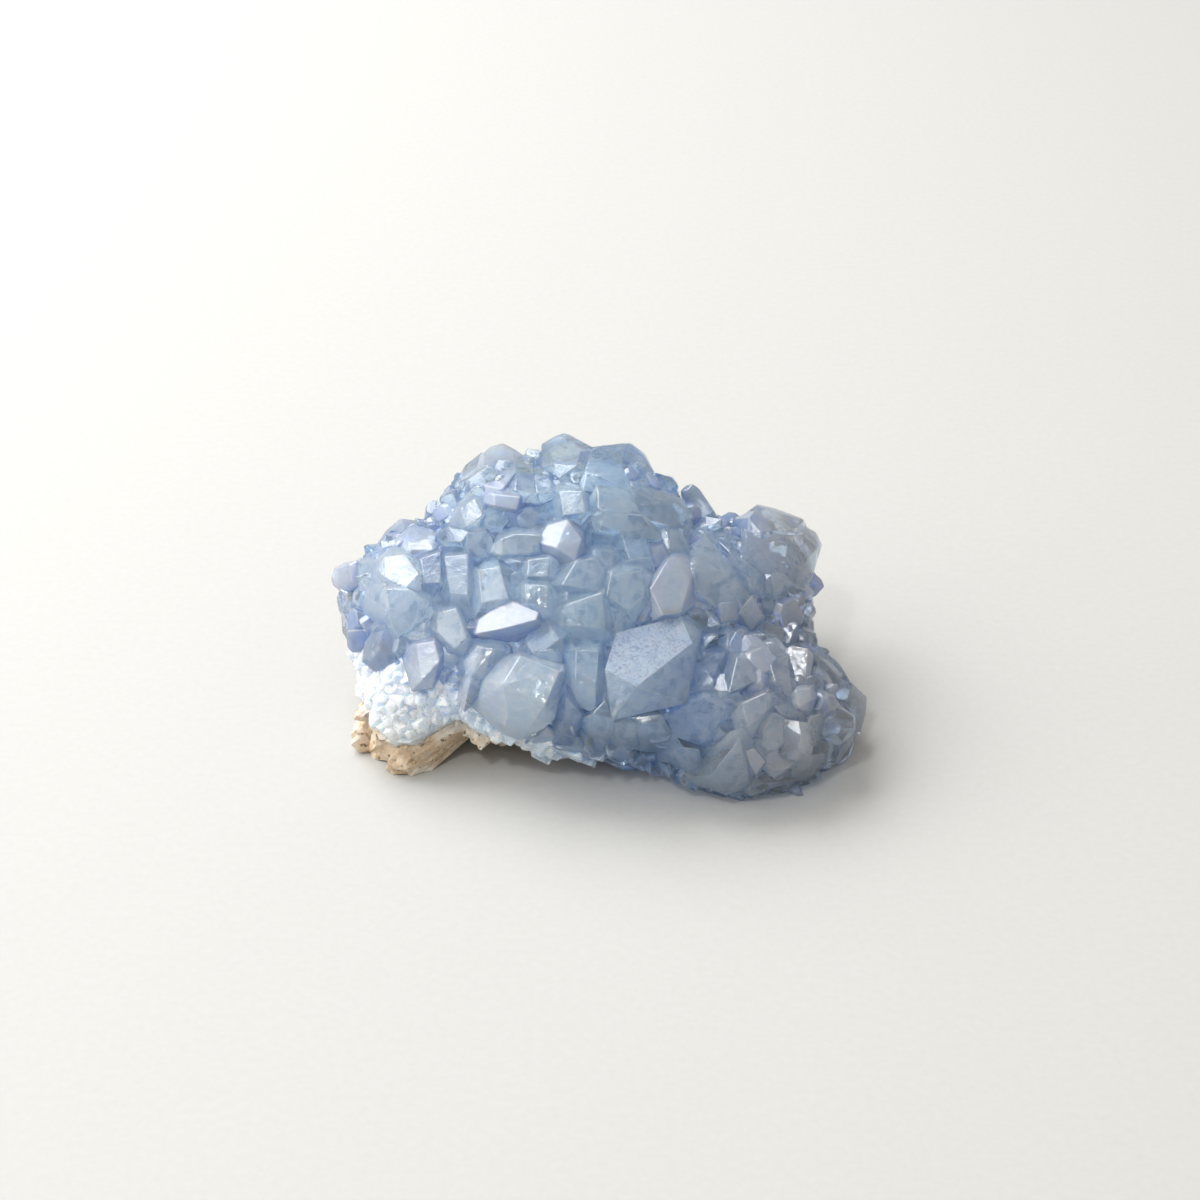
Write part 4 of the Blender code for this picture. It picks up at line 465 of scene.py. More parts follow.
# The plainer ones: across and up the picture plane, width, depth, how far it stands out, lean to
# the right and upward, turn in degrees, habit.
FRONT_CRYSTALS = (
    (-9.8, 20.6, 4.6, 4.2, 4, -0.1, 1.2, 60, "dome"),
    (9.6, 16.6, 5.0, 4.0, 4, 0.6, 0.9, 30, "dome"),
    (14.9, 13.8, 3.8, 3.4, 9, -1.0, 1.4, 10, "dome"),
    (19.4, 11.4, 4.6, 4.0, 3, 0.2, 1.1, 50, "block"),
    (-24.6, 13.2, 4.4, 4.0, 3, -0.7, 1.1, 70, "dome"),
    (-15.6, 12.0, 4.8, 4.2, 3, 0.1, 0.4, 50, "block"),
    (-10.4, 12.2, 4.8, 4.2, 3, 0.2, 0.5, 80, "dome"),
    (-14.6, 4.0, 5.2, 4.4, 3, -0.2, 0.4, 75, "dome"),
    (-26.8, -4.4, 5.2, 4.6, 4, -0.4, 0.0, 60, "block"),
    (1.6, 10.0, 3.4, 3.2, 2, 0.1, 0.6, 60, "block"),
    (31.4, 2.6, 4.6, 4.4, 3, 0.9, 0.4, 30, "dome"),
    (30.2, -1.4, 5.0, 4.4, 3, 0.8, 0.2, 60, "dome"),
    (30.8, -6.0, 5.0, 4.4, 3, 0.9, 0.1, 15, "dome"),
    (25.0, -5.4, 5.2, 5.0, 4, 0.3, 0.3, 15, "block"),
    # Lower edge, hanging over the arch
    (-1.5, -20.4, 3.6, 3.8, 4, -0.1, -1.2, 10, "wedge"),
    (1.6, -21.2, 3.6, 4.0, 4, 0.0, -1.2, 30, "peak"),
    (4.6, -22.2, 3.8, 4.0, 4, 0.1, -1.2, 15, "wedge"),
    (7.4, -23.4, 3.6, 4.2, 4, 0.0, -1.2, 5, "peak"),
    (10.6, -24.8, 4.2, 4.2, 4, 0.1, -1.1, 25, "wedge"),
    (13.6, -26.2, 4.4, 4.2, 4, 0.1, -0.9, 10, "dome"),
    (3.0, -17.6, 4.8, 4.6, 3, 0.0, -0.3, 20, "wedge"),
    (8.6, -19.4, 4.6, 5.0, 3, 0.0, -0.3, 60, "block"),
)

# The other crystals, which fill the crust between those and cover its back.
FILL_TRIES = 8000
FILL_WIDTHS = (7.2, 5.8, 4.7, 3.8, 3.1)  # tried in this order, so the large ones come first
FILL_SPACING = 0.8  # of the two crystals' mean width
FILL_MARGIN = 3  # degrees inside the crust's rim
FILL_LEAN = 0.45
FILL_HEIGHTS = (0.35, 0.7)  # how far a crystal stands out, as shares of its width
FILL_DEPTHS = (0.7, 1.0)
FILL_HABITS = ("block", "block", "wedge", "dome", "dome", "peak")
SINK_STEPS = (0, 0.9, 1.8, 2.7)  # how deep a crystal is set if it would pass the outline
FINE_WIDTHS = (3.0, 2.4)  # the fine-grained crystals of the lower left front
FINE_EDGE_ACROSS = (-38, 2)  # their upper edge on the picture plane, from left to right
FINE_EDGE_UP = -6  # at its left end
FINE_EDGE_SLOPE = -0.4
UNDERSIDE = -0.5  # crystals aren't grown where the body faces down more steeply than this
LOWEST_SEAT = 0.5
FLOOR_CLEARANCE = 0.3

# The small crystals that only this script has.
ALL_ROUND = (0, 0, 0)
SMALL_TRIES = 17000
SMALL_WIDTHS = (4.4, 3.5, 2.7, 2.0, 1.5)
SMALL_SPACING = 0.56
LEAST_CLEAR = 2.5  # below this width many crystals are white
# Height in millimetres that counts as full relief, for the painted crevice shade.
FULL_RELIEF = 5
LOBE_TRIES = 2500
LOBE_WIDTHS = (6.0, 5.0, 4.2, 3.4)
LOBE_SPACING = 0.5
LOBE_MIDDLE = (0.8, -0.5, -0.25)  # the way from the heart to the lower right
LOBE_SPREAD = 0.35
DRUSE_TRIES = 12000
DRUSE_WIDTHS = (2.2, 1.7, 1.2, 0.9)
DRUSE_SPACING = 0.5
DRUSE_MIDDLE = (-0.68, -0.6, -0.35)  # the way from the heart to the fine white crystals
DRUSE_SPREAD = 0.3

# Bevels: the worn edges, each with its width in millimetres and its steps. The narrow ones stay
# within a share of the crystal's width.
BEVELS = {
    "block": (0.10, 1),
    "slab": (0.08, 1),
    "wedge": (0.09, 1),
    "peak": (0.09, 1),
    "dome": (0.35, 2),
    "shaped": (0.10, 1),
}
BEVEL_SHARE = 0.12
SHARP_ANGLE = math.radians(14)
FLAT_ANGLE = math.radians(7)  # below which two faces count as one
ETCHED_SPREAD = math.radians(10)  # how far the etched face's normal may be from its corners' plane

# Material slots of the fused crystals.
CLEAR, MILKY, DRUSE, ETCHED = range(4)
MILKY_TONE = 0.78  # from which a crystal is milky
# Low tone of the crust between the crystals, which darkens it: painted shade in the gaps.
CRUST_SHADE_TONE = 0.2
FILL_TONES = (0.15, 0.85)
# Random shift of each face's tone, lighter or darker: painted light and shade on the facets.
FACET_LIGHT_JITTER = 0.14
# Added to the bevels' tone, which pales them: a painted edge highlight.
EDGE_HIGHLIGHT_TONE = 0.4


# Body


def outside_ellipsoid(points, middle, half):
    """About how far points are outside an ellipsoid."""
    away = points - np.array(middle, float)
    half = np.array(half, float)
    near = np.linalg.norm(away / half, axis=-1)
    steep = np.linalg.norm(away / half**2, axis=-1)
    return near * (near - 1) / np.maximum(steep, 1e-9)


def outside(points):
    """About how far points are outside the body."""
    points = np.asarray(points, float)
    total = sum(np.exp(-outside_ellipsoid(points, *swelling) / BLEND) for swelling in SWELLINGS)
    lumps = -BLEND * np.log(np.maximum(total, 1e-30))
    return np.maximum(lumps, -outside_ellipsoid(points, *ARCH))


def skin_distances(directions):
    """How far the body's skin is from the heart along each direction."""
    directions = np.asarray(directions, float)
    low = np.zeros(len(directions))
    high = np.full(len(directions), float(REACH))
    found = np.zeros(len(directions), bool)
    steps = np.linspace(0, REACH, 181)
    for near, far in zip(steps, steps[1:]):
        crossed = (outside(np.array(HEART) + directions * far) > 0) & ~found
        low[crossed] = near
        high[crossed] = far
        found |= crossed
    for _ in range(10):
        middle = (low + high) / 2
        out = outside(np.array(HEART) + directions * middle[:, None]) > 0
        high = np.where(out, middle, high)
        low = np.where(out, low, middle)
    return (low + high) / 2


def outward(points):
    """The way out of the body at each point."""
    step = 0.3
    points = np.asarray(points, float)
    slopes = [outside(points + axis) - outside(points - axis) for axis in np.eye(3) * step]
    slopes = np.stack(slopes, axis=-1)
    return slopes / np.linalg.norm(slopes, axis=-1, keepdims=True)


def smooth_share(value):
    value = max(0, min(1, value))
    return value * value * (3 - 2 * value)


def rim_angle(azimuth):
    """The rim's angle at an azimuth in degrees, smooth between the named ones."""
    place = (azimuth % 360) / (360 / len(RIM))
    before = int(place) % len(RIM)
    share = smooth_share(place - int(place))
    return RIM[before] * (1 - share) + RIM[(before + 1) % len(RIM)] * share


def degrees_inside_rim(direction):
    azimuth = math.degrees(math.atan2(direction[1], direction[0]))
    height = math.degrees(math.asin(max(-1, min(1, direction[2]))))
    wave = RIM_WAVE * noise.noise(Vector(direction) * 4)
    return height - rim_angle(azimuth) - wave


def rock_roughness(point):
    lump = noise.noise(point / ROCK_LUMP_SIZE) * ROCK_LUMP
    ledge = abs(noise.noise(point / ROCK_LEDGE_SIZE + Vector((7, 0, 0)))) * ROCK_LEDGE
    return lump - ledge


def ball(detail):
    """Evenly spread directions and the faces that join them."""
    bm = bmesh.new()
    bmesh.ops.create_icosphere(bm, subdivisions=detail, radius=1)
    directions = [vert.co.normalized() for vert in bm.verts]
    faces = [[vert.index for vert in face.verts] for face in bm.faces]
    bm.free()
    return directions, faces


def broken_faces(place, size, tilt, step):
    """The height of a surface of small faces, each tilted and set in or out in its own way."""
    cell = noise.voronoi(place / size)[1][0]
    way = noise.cell_vector(cell * CELL_SHUFFLE) - Vector((0.5, 0.5, 0.5))
    return way.dot(place - cell * size) * tilt + way.x * step


def rock_length(direction, distance, way_out):
    """The rock's surface along a direction, in which the body's skin is at a distance."""
    inside = degrees_inside_rim(direction)
    steepness = max(LEAST_STEEPNESS, way_out.dot(direction))
    depth = CRUST_DEPTH * smooth_share(inside / CRUST_THINNING) / steepness
    bare = 1 - smooth_share(inside / CRUST_THINNING)
    place = HEART + direction * distance
    rough = rock_roughness(place) + broken_faces(place, *ROCK_FACES)
    grain = noise.fractal(place / ROCK_GRAIN_SIZE, 0.8, 2.1, 3) * ROCK_GRAIN
    return distance - depth + (rough + grain) * bare


def crust_length(direction, distance, way_out):
    """The crust's outer surface, of small tilted faces, which dips under the rock below the rim."""
    inside = degrees_inside_rim(direction)
    place = HEART + direction * distance
    dip = RIM_DIP * (1 - smooth_share(inside / RIM_WIDTH + 0.5))
    return distance + CRUST_STEP + broken_faces(place, *CRUST_FACES) - dip


def shell(name, surface, detail):
    """A closed body whose surface is told by direction, cut off flat at the floor."""
    directions, faces = ball(detail)
    distances = skin_distances([tuple(direction) for direction in directions])
    places = np.array(HEART) + np.array(directions) * distances[:, None]
    ways_out = outward(places)
    bm = bmesh.new()
    for direction, distance, way_out in zip(directions, distances, ways_out):
        length = surface(direction, float(distance), Vector(way_out))
        if direction.z < 0:
            length = min(length, -HEART.z / direction.z)
        bm.verts.new(HEART + direction * length)
    bm.verts.ensure_lookup_table()
    for face in faces:
        bm.faces.new([bm.verts[index] for index in face])
    return make_object(name, bm)


def make_object(name, bm):
    """An object in metres from a bmesh in millimetres."""
    bm.transform(Matrix.Scale(MM, 4))
    mesh = bpy.data.meshes.new(name)
    bm.to_mesh(mesh)
    bm.free()
    obj = bpy.data.objects.new(name, mesh)
    bpy.context.scene.collection.objects.link(obj)
    return obj


# Crystals


def crystal_planes(habit, rng):
    """The faces of a crystal of half size 1, as directions and distances from its middle."""
    top, prism, side, front, side_slope, front_slope, corner_slope = HABITS[habit]
    across = math.cos(PRISM_ANGLE)
    along = math.sin(PRISM_ANGLE)
    low = math.sin(SLOPE_ANGLE)
    high = math.cos(SLOPE_ANGLE)
    planes = [((0, 0, 1), top), ((0, 0, -1), 1)]
    for sign in (-1, 1):
        planes.append(((sign, 0, 0), side))
        planes.append(((0, sign, 0), front))
        planes.append(((sign * low, 0, high), side_slope))
        planes.append(((0, sign * low, high), front_slope))
        for other in (-1, 1):
            planes.append(((sign * across, other * along, 0), prism))
            corner = (sign * CORNER_SLOPE[0], other * CORNER_SLOPE[1], CORNER_SLOPE[2])
            planes.append((corner, corner_slope))
    uneven = []
    for direction, distance in planes:
        if distance is None:
            continue
        wobble = Vector([rng.uniform(-UNEVEN_ANGLE, UNEVEN_ANGLE) for _ in range(3)])
        direction = (Vector(direction) + wobble).normalized()
        uneven.append((direction, distance * (1 + rng.uniform(-UNEVEN_DISTANCE, UNEVEN_DISTANCE))))
    return uneven


def corners_of(planes):
    """The corners of the convex solid that lies behind every plane."""
    directions = np.array([direction for direction, _ in planes])
    distances = np.array([distance for _, distance in planes])
    triples = np.array(list(combinations(range(len(planes)), 3)))
    systems = directions[triples]
    solvable = np.abs(np.linalg.det(systems)) > 1e-4
    points = np.linalg.solve(systems[solvable], distances[triples[solvable]][..., None])[..., 0]
    behind = (points @ directions.T <= distances + 1e-6).all(axis=1)
    return np.unique(np.round(points[behind], 5), axis=0)


def axes_along(axis, turn):
    """A frame whose third axis is the given one, turned about it by degrees."""
    frame = axis.to_track_quat("Z", "Y").to_matrix()
    return frame @ Matrix.Rotation(math.radians(turn), 3, "Z")


class Crystal:
    """One crystal: its corners, and the middle and width that keep its neighbours off."""

    def __init__(self, corners, middle, width, habit, seed, tone=None):
        self.corners = corners
        self.middle = middle
        self.width = width
        self.habit = habit
        self.seed = seed
        self.tone = tone
        self.etched = None  # the normal of an etched face


def habit_corners(middle, axis, width, depth, height, turn, habit, seed):
    """The corners of a crystal of some habit, whose showing part is at the middle."""
    root = ROOT_SHARE * (width + depth) / 2
    half_length = (height + root) / 2
    centre = middle - axis * (root / 2)
    half_sizes = (width / 2, depth / 2, half_length)
    frame = axes_along(axis, turn)
    planes = []
    for direction, distance in crystal_planes(habit, random.Random(seed)):
        # A plane of the unit crystal, stretched to size and turned into place.
        stretched = Vector([direction[i] / half_sizes[i] for i in range(3)])
        normal = frame @ (stretched / stretched.length)
        planes.append((normal, distance / stretched.length))
    planes.append((Vector((0, 0, -1)), centre.z - FLOOR_CLEARANCE))
    return [centre + Vector(corner) for corner in corners_of(planes)]


def sight_line(across, up):
    """The viewer's eye and the direction to a place on the picture plane."""
    eye = PLANE_MIDDLE + TOWARD * EYE_DISTANCE
    target = PLANE_MIDDLE + RIGHT * across + UP * up
    return eye, (target - eye).normalized()


def skin_on_sight_line(across, up):
    """Where a sight line meets the body, or its nearest point if it misses."""
    eye, direction = sight_line(across, up)
    distances = np.linspace(EYE_DISTANCE - 60, EYE_DISTANCE + 60, 481)
    depths = outside(np.array(eye) + np.array(direction) * distances[:, None])
    inside = np.nonzero(depths < 0)[0]
    chosen = inside[0] if len(inside) else int(np.argmin(depths))
    return eye + direction * float(distances[chosen]), direction


def place_of(across, up, toward):
    """The point seen at a place on the picture plane, some way from the plane to the viewer."""
    eye = PLANE_MIDDLE + TOWARD * EYE_DISTANCE
    target = PLANE_MIDDLE + RIGHT * across + UP * up
    return eye + (target - eye) * ((EYE_DISTANCE - toward) / EYE_DISTANCE)


def inside_front_outline(across, up):
    crossings = 0
    for (x1, y1), (x2, y2) in zip(FRONT_OUTLINE, FRONT_OUTLINE[1:] + FRONT_OUTLINE[:1]):
        if (y1 > up) != (y2 > up) and across < x1 + (up - y1) * (x2 - x1) / (y2 - y1):
            crossings += 1
    return crossings % 2 == 1


def grown(x, y, across, up, growth):
    """A corner moved away from a middle, or left in place if it would pass the outline."""
    far_x = across + (x - across) * growth
    far_y = up + (y - up) * growth
    return (far_x, far_y) if inside_front_outline(far_x, far_y) else (x, y)


def shaped_crystals():
    """The crystals whose outline and crown are read from the front."""
    crystals = []
    for index, (tone, outline, crown) in enumerate(SHAPED_CRYSTALS):
        across = sum(corner[0] for corner in outline) / len(outline)
        up = sum(corner[1] for corner in outline) / len(outline)
        skin, _ = skin_on_sight_line(across, up)
        way_out = Vector(outward(skin))
        toward = (skin - PLANE_MIDDLE).dot(TOWARD)
        facing = max(LEAST_FACING, way_out.dot(TOWARD))
        fall_right = way_out.dot(RIGHT) / facing
        fall_up = way_out.dot(UP) / facing
        size = sum(math.dist(corner, (across, up)) for corner in outline) / len(outline) * 2
        free = size > FREE_SIZE
        crown_growth = 1 if free else CROWN_GROWTH
        outline_growth = 1 if free else OUTLINE_GROWTH
        rises = []
        for x, y, rise in crown:
            rises.append((*grown(x, y, across, up, crown_growth), rise * CROWN_RISE))
        for x, y in outline:
            rises.append((*grown(x, y, across, up, outline_growth), OUTLINE_RISE))
        corners = []
        for corner_across, corner_up, rise in rises:
            fallen = fall_right * (corner_across - across) + fall_up * (corner_up - up)
            corners.append(place_of(corner_across, corner_up, toward - fallen + rise))
        for corner in corners[-len(outline) :]:
            corners.append(skin + (corner - skin) * ROOT_TAPER - way_out * ROOT_DEPTH)
        for corner in corners:
            corner.z = max(corner.z, FLOOR_CLEARANCE)
        crystals.append(Crystal(corners, skin, size, "shaped", SHAPED_SEED + index, tone))
        if index == 0:
            crystals[0].etched = flatten_crown(corners, len(crown))
    return crystals


def flatten_crown(corners, count):
    """Bring a crown's corners into the plane of three of them, and return its normal."""
    normal = (corners[4] - corners[0]).cross(corners[1] - corners[0]).normalized()
    for corner in corners[:count]:
        corner += TOWARD * ((corners[0] - corner).dot(normal) / TOWARD.dot(normal))
    return normal


def on_picture_plane(point):
    """Across and up, as the viewer sees a point."""
    away = point - PLANE_MIDDLE - TOWARD * EYE_DISTANCE
    scale = -EYE_DISTANCE / away.dot(TOWARD)
    return away.dot(RIGHT) * scale, away.dot(UP) * scale


def within_outline(point):
    return inside_front_outline(*on_picture_plane(point))


def front_crystals():
    crystals = []
    for index, row in enumerate(FRONT_CRYSTALS):
        across, up, width, depth, height, lean_right, lean_up, turn, habit = row
        axis = (TOWARD + RIGHT * lean_right + UP * lean_up).normalized()
        skin, sight = skin_on_sight_line(across, up)
        middle = skin - sight * (height / 2 * max(0, -axis.dot(sight)))
        seed = SEED + index
        corners = habit_corners(middle, axis, width, depth, height, turn, habit, seed)
        crystals.append(Crystal(corners, middle, width, habit, seed))
    return crystals


def fine_grained(place):
    """Whether a place is on the lower left front, where all crystals are small."""
    across, up = on_picture_plane(place)
    upper_edge = FINE_EDGE_UP + FINE_EDGE_SLOPE * (across - FINE_EDGE_ACROSS[0])
    return place.y < 0 and across < FINE_EDGE_ACROSS[1] and up < upper_edge


def seats_on_crust(tries, rng, middle, spread):
    """Places spread over the crust round one way out, and the way out of the body at each."""
    directions = []
    for _ in range(tries):
        direction = Vector([rng.gauss(part, spread) for part in middle]).normalized()
        if degrees_inside_rim(direction) > FILL_MARGIN:
            directions.append(direction)
    distances = skin_distances([tuple(direction) for direction in directions])
    seats = [HEART + way * float(length) for way, length in zip(directions, distances)]
    return seats, [Vector(way) for way in outward(seats)]


def fill_crystals(placed, seed, tries, widths, fine_widths, spacing, middle=ALL_ROUND, spread=1):
    """Crystals of falling size in the spaces that are left on the crust."""
    rng = random.Random(seed)
    seats, ways_out = seats_on_crust(tries, rng, middle, spread)
    middles = np.array([crystal.middle for crystal in placed])
    taken = np.array([crystal.width for crystal in placed])
    crystals = []
    for width in widths + fine_widths:
        for seat, way_out in zip(seats, ways_out):
            if seat.z < LOWEST_SEAT or fine_grained(seat) != (width in fine_widths):
                continue
            room = np.linalg.norm(middles - np.array(seat), axis=1)
            if (room < spacing * (taken + width) / 2).any():
                continue
            if way_out.z < UNDERSIDE:
                continue
            lean = Vector([rng.uniform(-FILL_LEAN, FILL_LEAN) for _ in range(3)])
            axis = (way_out + lean).normalized()
            height = width * rng.uniform(*FILL_HEIGHTS)
            depth = width * rng.uniform(*FILL_DEPTHS)
            habit = rng.choice(FILL_HABITS)
            turn = rng.uniform(0, 180)
            seed = rng.randrange(10**6)
            for sunk in SINK_STEPS:
                middle = seat + axis * (height / 2) - way_out * sunk
                corners = habit_corners(middle, axis, width, depth, height, turn, habit, seed)
                if all(within_outline(corner) for corner in corners):
                    crystals.append(Crystal(corners, middle, width, habit, seed))
                    middles = np.vstack([middles, seat])
                    taken = np.append(taken, width)
                    break
    return crystals


def look_of(crystal, rng):
    """The material slot of a crystal."""
    if crystal.tone is not None:
        return MILKY if crystal.tone > MILKY_TONE else CLEAR
    if fine_grained(crystal.middle):
        return DRUSE
    if crystal.width < LEAST_CLEAR:
        return DRUSE if rng.random() < 0.35 else CLEAR
    return MILKY if rng.random() < 0.25 else CLEAR


def crystal_object(name, crystal):
    """A crystal with worn edges, its faces' tones shifted as painted facet light and shade, its
    bevels painted paler as a highlight, and its material slot.
    """
    bm = bmesh.new()
    tone = bm.faces.layers.float.new("tone")
    for corner in crystal.corners:
        bm.verts.new(corner)
    hull = bmesh.ops.convex_hull(bm, input=bm.verts)
    loose = [item for item in hull["geom_interior"] if isinstance(item, bmesh.types.BMVert)]
    bmesh.ops.delete(bm, geom=loose, context="VERTS")
    bmesh.ops.dissolve_limit(bm, angle_limit=FLAT_ANGLE, verts=bm.verts, edges=bm.edges)
    bmesh.ops.recalc_face_normals(bm, faces=bm.faces)
    rng = random.Random(crystal.seed)
    slot = look_of(crystal, rng)
    value = rng.uniform(*FILL_TONES) if crystal.tone is None else crystal.tone
    for face in bm.faces:
        etched = crystal.etched and face.normal.angle(crystal.etched) < ETCHED_SPREAD
        face.material_index = ETCHED if etched else slot
        # Each face's tone shifted at random: painted facet light and shade.
        face[tone] = value + rng.uniform(-FACET_LIGHT_JITTER, FACET_LIGHT_JITTER)
    bevel_width, steps = BEVELS[crystal.habit]
    bevelled = bmesh.ops.bevel(
        bm,
        geom=[edge for edge in bm.edges if edge.calc_face_angle(0) > SHARP_ANGLE],
        offset=min(bevel_width, BEVEL_SHARE * crystal.width),
        segments=steps,
        profile=0.5,
        affect="EDGES",
        clamp_overlap=True,
    )
    for face in bevelled["faces"]:
        face.material_index = slot
        # Bevel faces painted paler: a painted edge highlight.
        face[tone] = value + EDGE_HIGHLIGHT_TONE
    bmesh.ops.triangulate(bm, faces=bm.faces)
    return make_object(name, bm)


# Joining


def apply_boolean(obj, operation, others):
    """Join or cut with every one of the other objects, then drop them."""
    helpers = bpy.data.collections.new(operation)
    bpy.context.scene.collection.children.link(helpers)
    for other in others:
        helpers.objects.link(other)
    modifier = obj.modifiers.new(operation, "BOOLEAN")
    modifier.operation = operation
    modifier.operand_type = "COLLECTION"
    modifier.collection = helpers
    modifier.solver = "MANIFOLD"
    graph = bpy.context.evaluated_depsgraph_get()
    joined = bpy.data.meshes.new_from_object(obj.evaluated_get(graph))
    obj.modifiers.clear()
    obj.data = joined
    for other in others:
        bpy.data.objects.remove(other)
    bpy.data.collections.remove(helpers)


def keep_largest(obj):
    """Keep the one large surface, without sealed pockets or shards."""
    mesh = obj.data
    parent = list(range(len(mesh.vertices)))

    def root_of(index):
        while parent[index] != index:
            parent[index] = parent[parent[index]]
            index = parent[index]
        return index

    for edge in mesh.edges:
        first, second = (root_of(index) for index in edge.vertices)
        if first != second:
            parent[first] = second
    roots = [root_of(index) for index in range(len(mesh.vertices))]
    counts = {}
    for root in roots:
        counts[root] = counts.get(root, 0) + 1
    largest = max(counts, key=counts.get)
    bm = bmesh.new()
    bm.from_mesh(mesh)
    bm.verts.ensure_lookup_table()
    strays = [vert for vert, root in zip(bm.verts, roots) if root != largest]
    bmesh.ops.delete(bm, geom=strays, context="VERTS")
    bm.to_mesh(mesh)
    bm.free()


def space_inside():
    """The rock shrunk a little, which the crust's inside is cut to."""
    space = shell("rock_space", rock_length, 6)
    for vert in space.data.vertices:
        on_floor = vert.co.z < 0.01 * MM
        way = vert.co / MM - HEART
        vert.co = (HEART + way - way.normalized() * CONTACT) * MM
        if on_floor:
            vert.co.z = -CONTACT * MM
    return space


# Materials


class Nodes:
    """Short ways to add and link the nodes of one material."""

    def __init__(self, name):
        self.material = bpy.data.materials.new(name)
        self.material.use_nodes = True
        self.tree = self.material.node_tree
        self.shader = self.tree.nodes["Principled BSDF"]
        self.output = self.tree.nodes["Material Output"]
        self.place = self.add("ShaderNodeTexCoord").outputs["Object"]

    def add(self, kind, **settings):
        node = self.tree.nodes.new(kind)
        for name, value in settings.items():
            setattr(node, name, value)
        return node

    def join(self, source, target):
        self.tree.links.new(source, target)

    def put(self, socket, value):
        """Link an output to a socket, or set the socket to a plain value."""
        if isinstance(value, bpy.types.NodeSocket):
            self.join(value, socket)
        else:
            socket.default_value = value

    def maths(self, operation, *values, clamp=False):
        node = self.add("ShaderNodeMath", operation=operation, use_clamp=clamp)
        for socket, value in zip(node.inputs, values):
            self.put(socket, value)
        return node.outputs[0]

    def noise(self, size, detail=3.0, roughness=0.5, distortion=0.0, stretch=(1, 1, 1)):
        """Noise from 0 to 1 whose features are about size millimetres across."""
        mapping = self.add("ShaderNodeMapping")
        self.join(self.place, mapping.inputs["Vector"])
        mapping.inputs["Scale"].default_value = [share / (size * MM) for share in stretch]
        node = self.add("ShaderNodeTexNoise")
        self.join(mapping.outputs[0], node.inputs["Vector"])
        node.inputs["Scale"].default_value = 1.0
        node.inputs["Detail"].default_value = detail
        node.inputs["Roughness"].default_value = roughness
        node.inputs["Distortion"].default_value = distortion
        return node.outputs["Fac"]

    def cells(self, size):
        """Straight-edged cells of about size millimetres, each with its own height."""
        node = self.add("ShaderNodeTexVoronoi", distance="CHEBYCHEV")
        self.join(self.place, node.inputs["Vector"])
        node.inputs["Scale"].default_value = 1 / (size * MM)
        return node.outputs["Distance"]

    def ramp(self, value, *stops):
        """Colours or greys between places from 0 to 1."""
        node = self.add("ShaderNodeValToRGB")
        elements = node.color_ramp.elements
        while len(elements) < len(stops):
            elements.new(0.5)
        for element, (place, colour) in zip(elements, stops):
            element.position = place
            element.color = (*colour, 1) if isinstance(colour, tuple) else (colour,) * 3 + (1,)
        self.put(node.inputs[0], value)
        return node.outputs[0]

    def mix(self, share, first, second, blend="MIX"):
        node = self.add("ShaderNodeMix", data_type="RGBA", blend_type=blend)
        self.put(node.inputs[0], share)
        for socket, value in ((node.inputs[6], first), (node.inputs[7], second)):
            self.put(socket, (*value, 1) if isinstance(value, tuple) else value)
        return node.outputs[2]

    def along(self, axis, low, high):
        """How far a place is from low to high along an axis, in millimetres, as 0 to 1."""
        parts = self.add("ShaderNodeSeparateXYZ")
        self.join(self.place, parts.inputs[0])
        node = self.add("ShaderNodeMapRange")
        self.join(parts.outputs[axis], node.inputs["Value"])
        node.inputs["From Min"].default_value = low * MM
        node.inputs["From Max"].default_value = high * MM
        return node.outputs[0]

    def value(self, name):
        """A value that the mesh carries."""
        return self.add("ShaderNodeAttribute", attribute_name=name).outputs["Fac"]

    def bump(self, height, depth, strength=1.0, under=None):
        """Relief of a depth in millimetres."""
        node = self.add("ShaderNodeBump")
        node.inputs["Strength"].default_value = strength
        node.inputs["Distance"].default_value = depth * MM
        self.join(height, node.inputs["Height"])
        if under is not None:
            self.join(under, node.inputs["Normal"])
        return node.outputs[0]


def sweep(nodes):
    """From 0 on the left to 1 on the right, with a soft uneven drift."""
    drift = nodes.maths("SUBTRACT", nodes.noise(16, detail=2), 0.5)
    return nodes.maths("MULTIPLY_ADD", drift, 0.3, nodes.along("X", -40, 40))


def celestite_tint(nodes, crevice_shade_colour):
    """White on the left, blue in the middle, grey on the right, partly the crystals' own colour and
    partly painted light on the lit left and painted shade on the shaded right; each face with its
    own tone, and low places darkened as painted crevice shade.
    """
    # Left to right: partly the crystals' own white, blue and grey, partly painted light on the lit
    # left and painted shade on the shaded right.
    zones_and_side_light = nodes.ramp(
        sweep(nodes),
        (0.0, (0.94, 0.97, 1.0)),
        (0.2, (0.80, 0.90, 1.0)),
        (0.45, (0.67, 0.85, 1.0)),
        (0.68, (0.71, 0.84, 0.98)),
        (0.84, (0.83, 0.85, 0.90)),
        (1.0, (0.94, 0.89, 0.85)),
    )
    deep = nodes.mix(1.0, zones_and_side_light, (0.68, 0.80, 0.93), "MULTIPLY")
    pale = nodes.mix(0.55, zones_and_side_light, (0.94, 0.97, 1.0))
    tone = nodes.value("tone")
    below = nodes.ramp(tone, (0.0, 0.0), (0.5, 1.0))
    above = nodes.ramp(tone, (0.5, 0.0), (1.0, 1.0))
    tint = nodes.mix(above, nodes.mix(below, deep, zones_and_side_light), pale)
    # Painted shade: places low on the body, between the crystals, are darkened toward the crevice
    # shade colour.
    sunk = nodes.ramp(nodes.value("relief"), (0.15, crevice_shade_colour), (0.6, (1.0, 1.0, 1.0)))
    return nodes.mix(1.0, tint, sunk, "MULTIPLY")


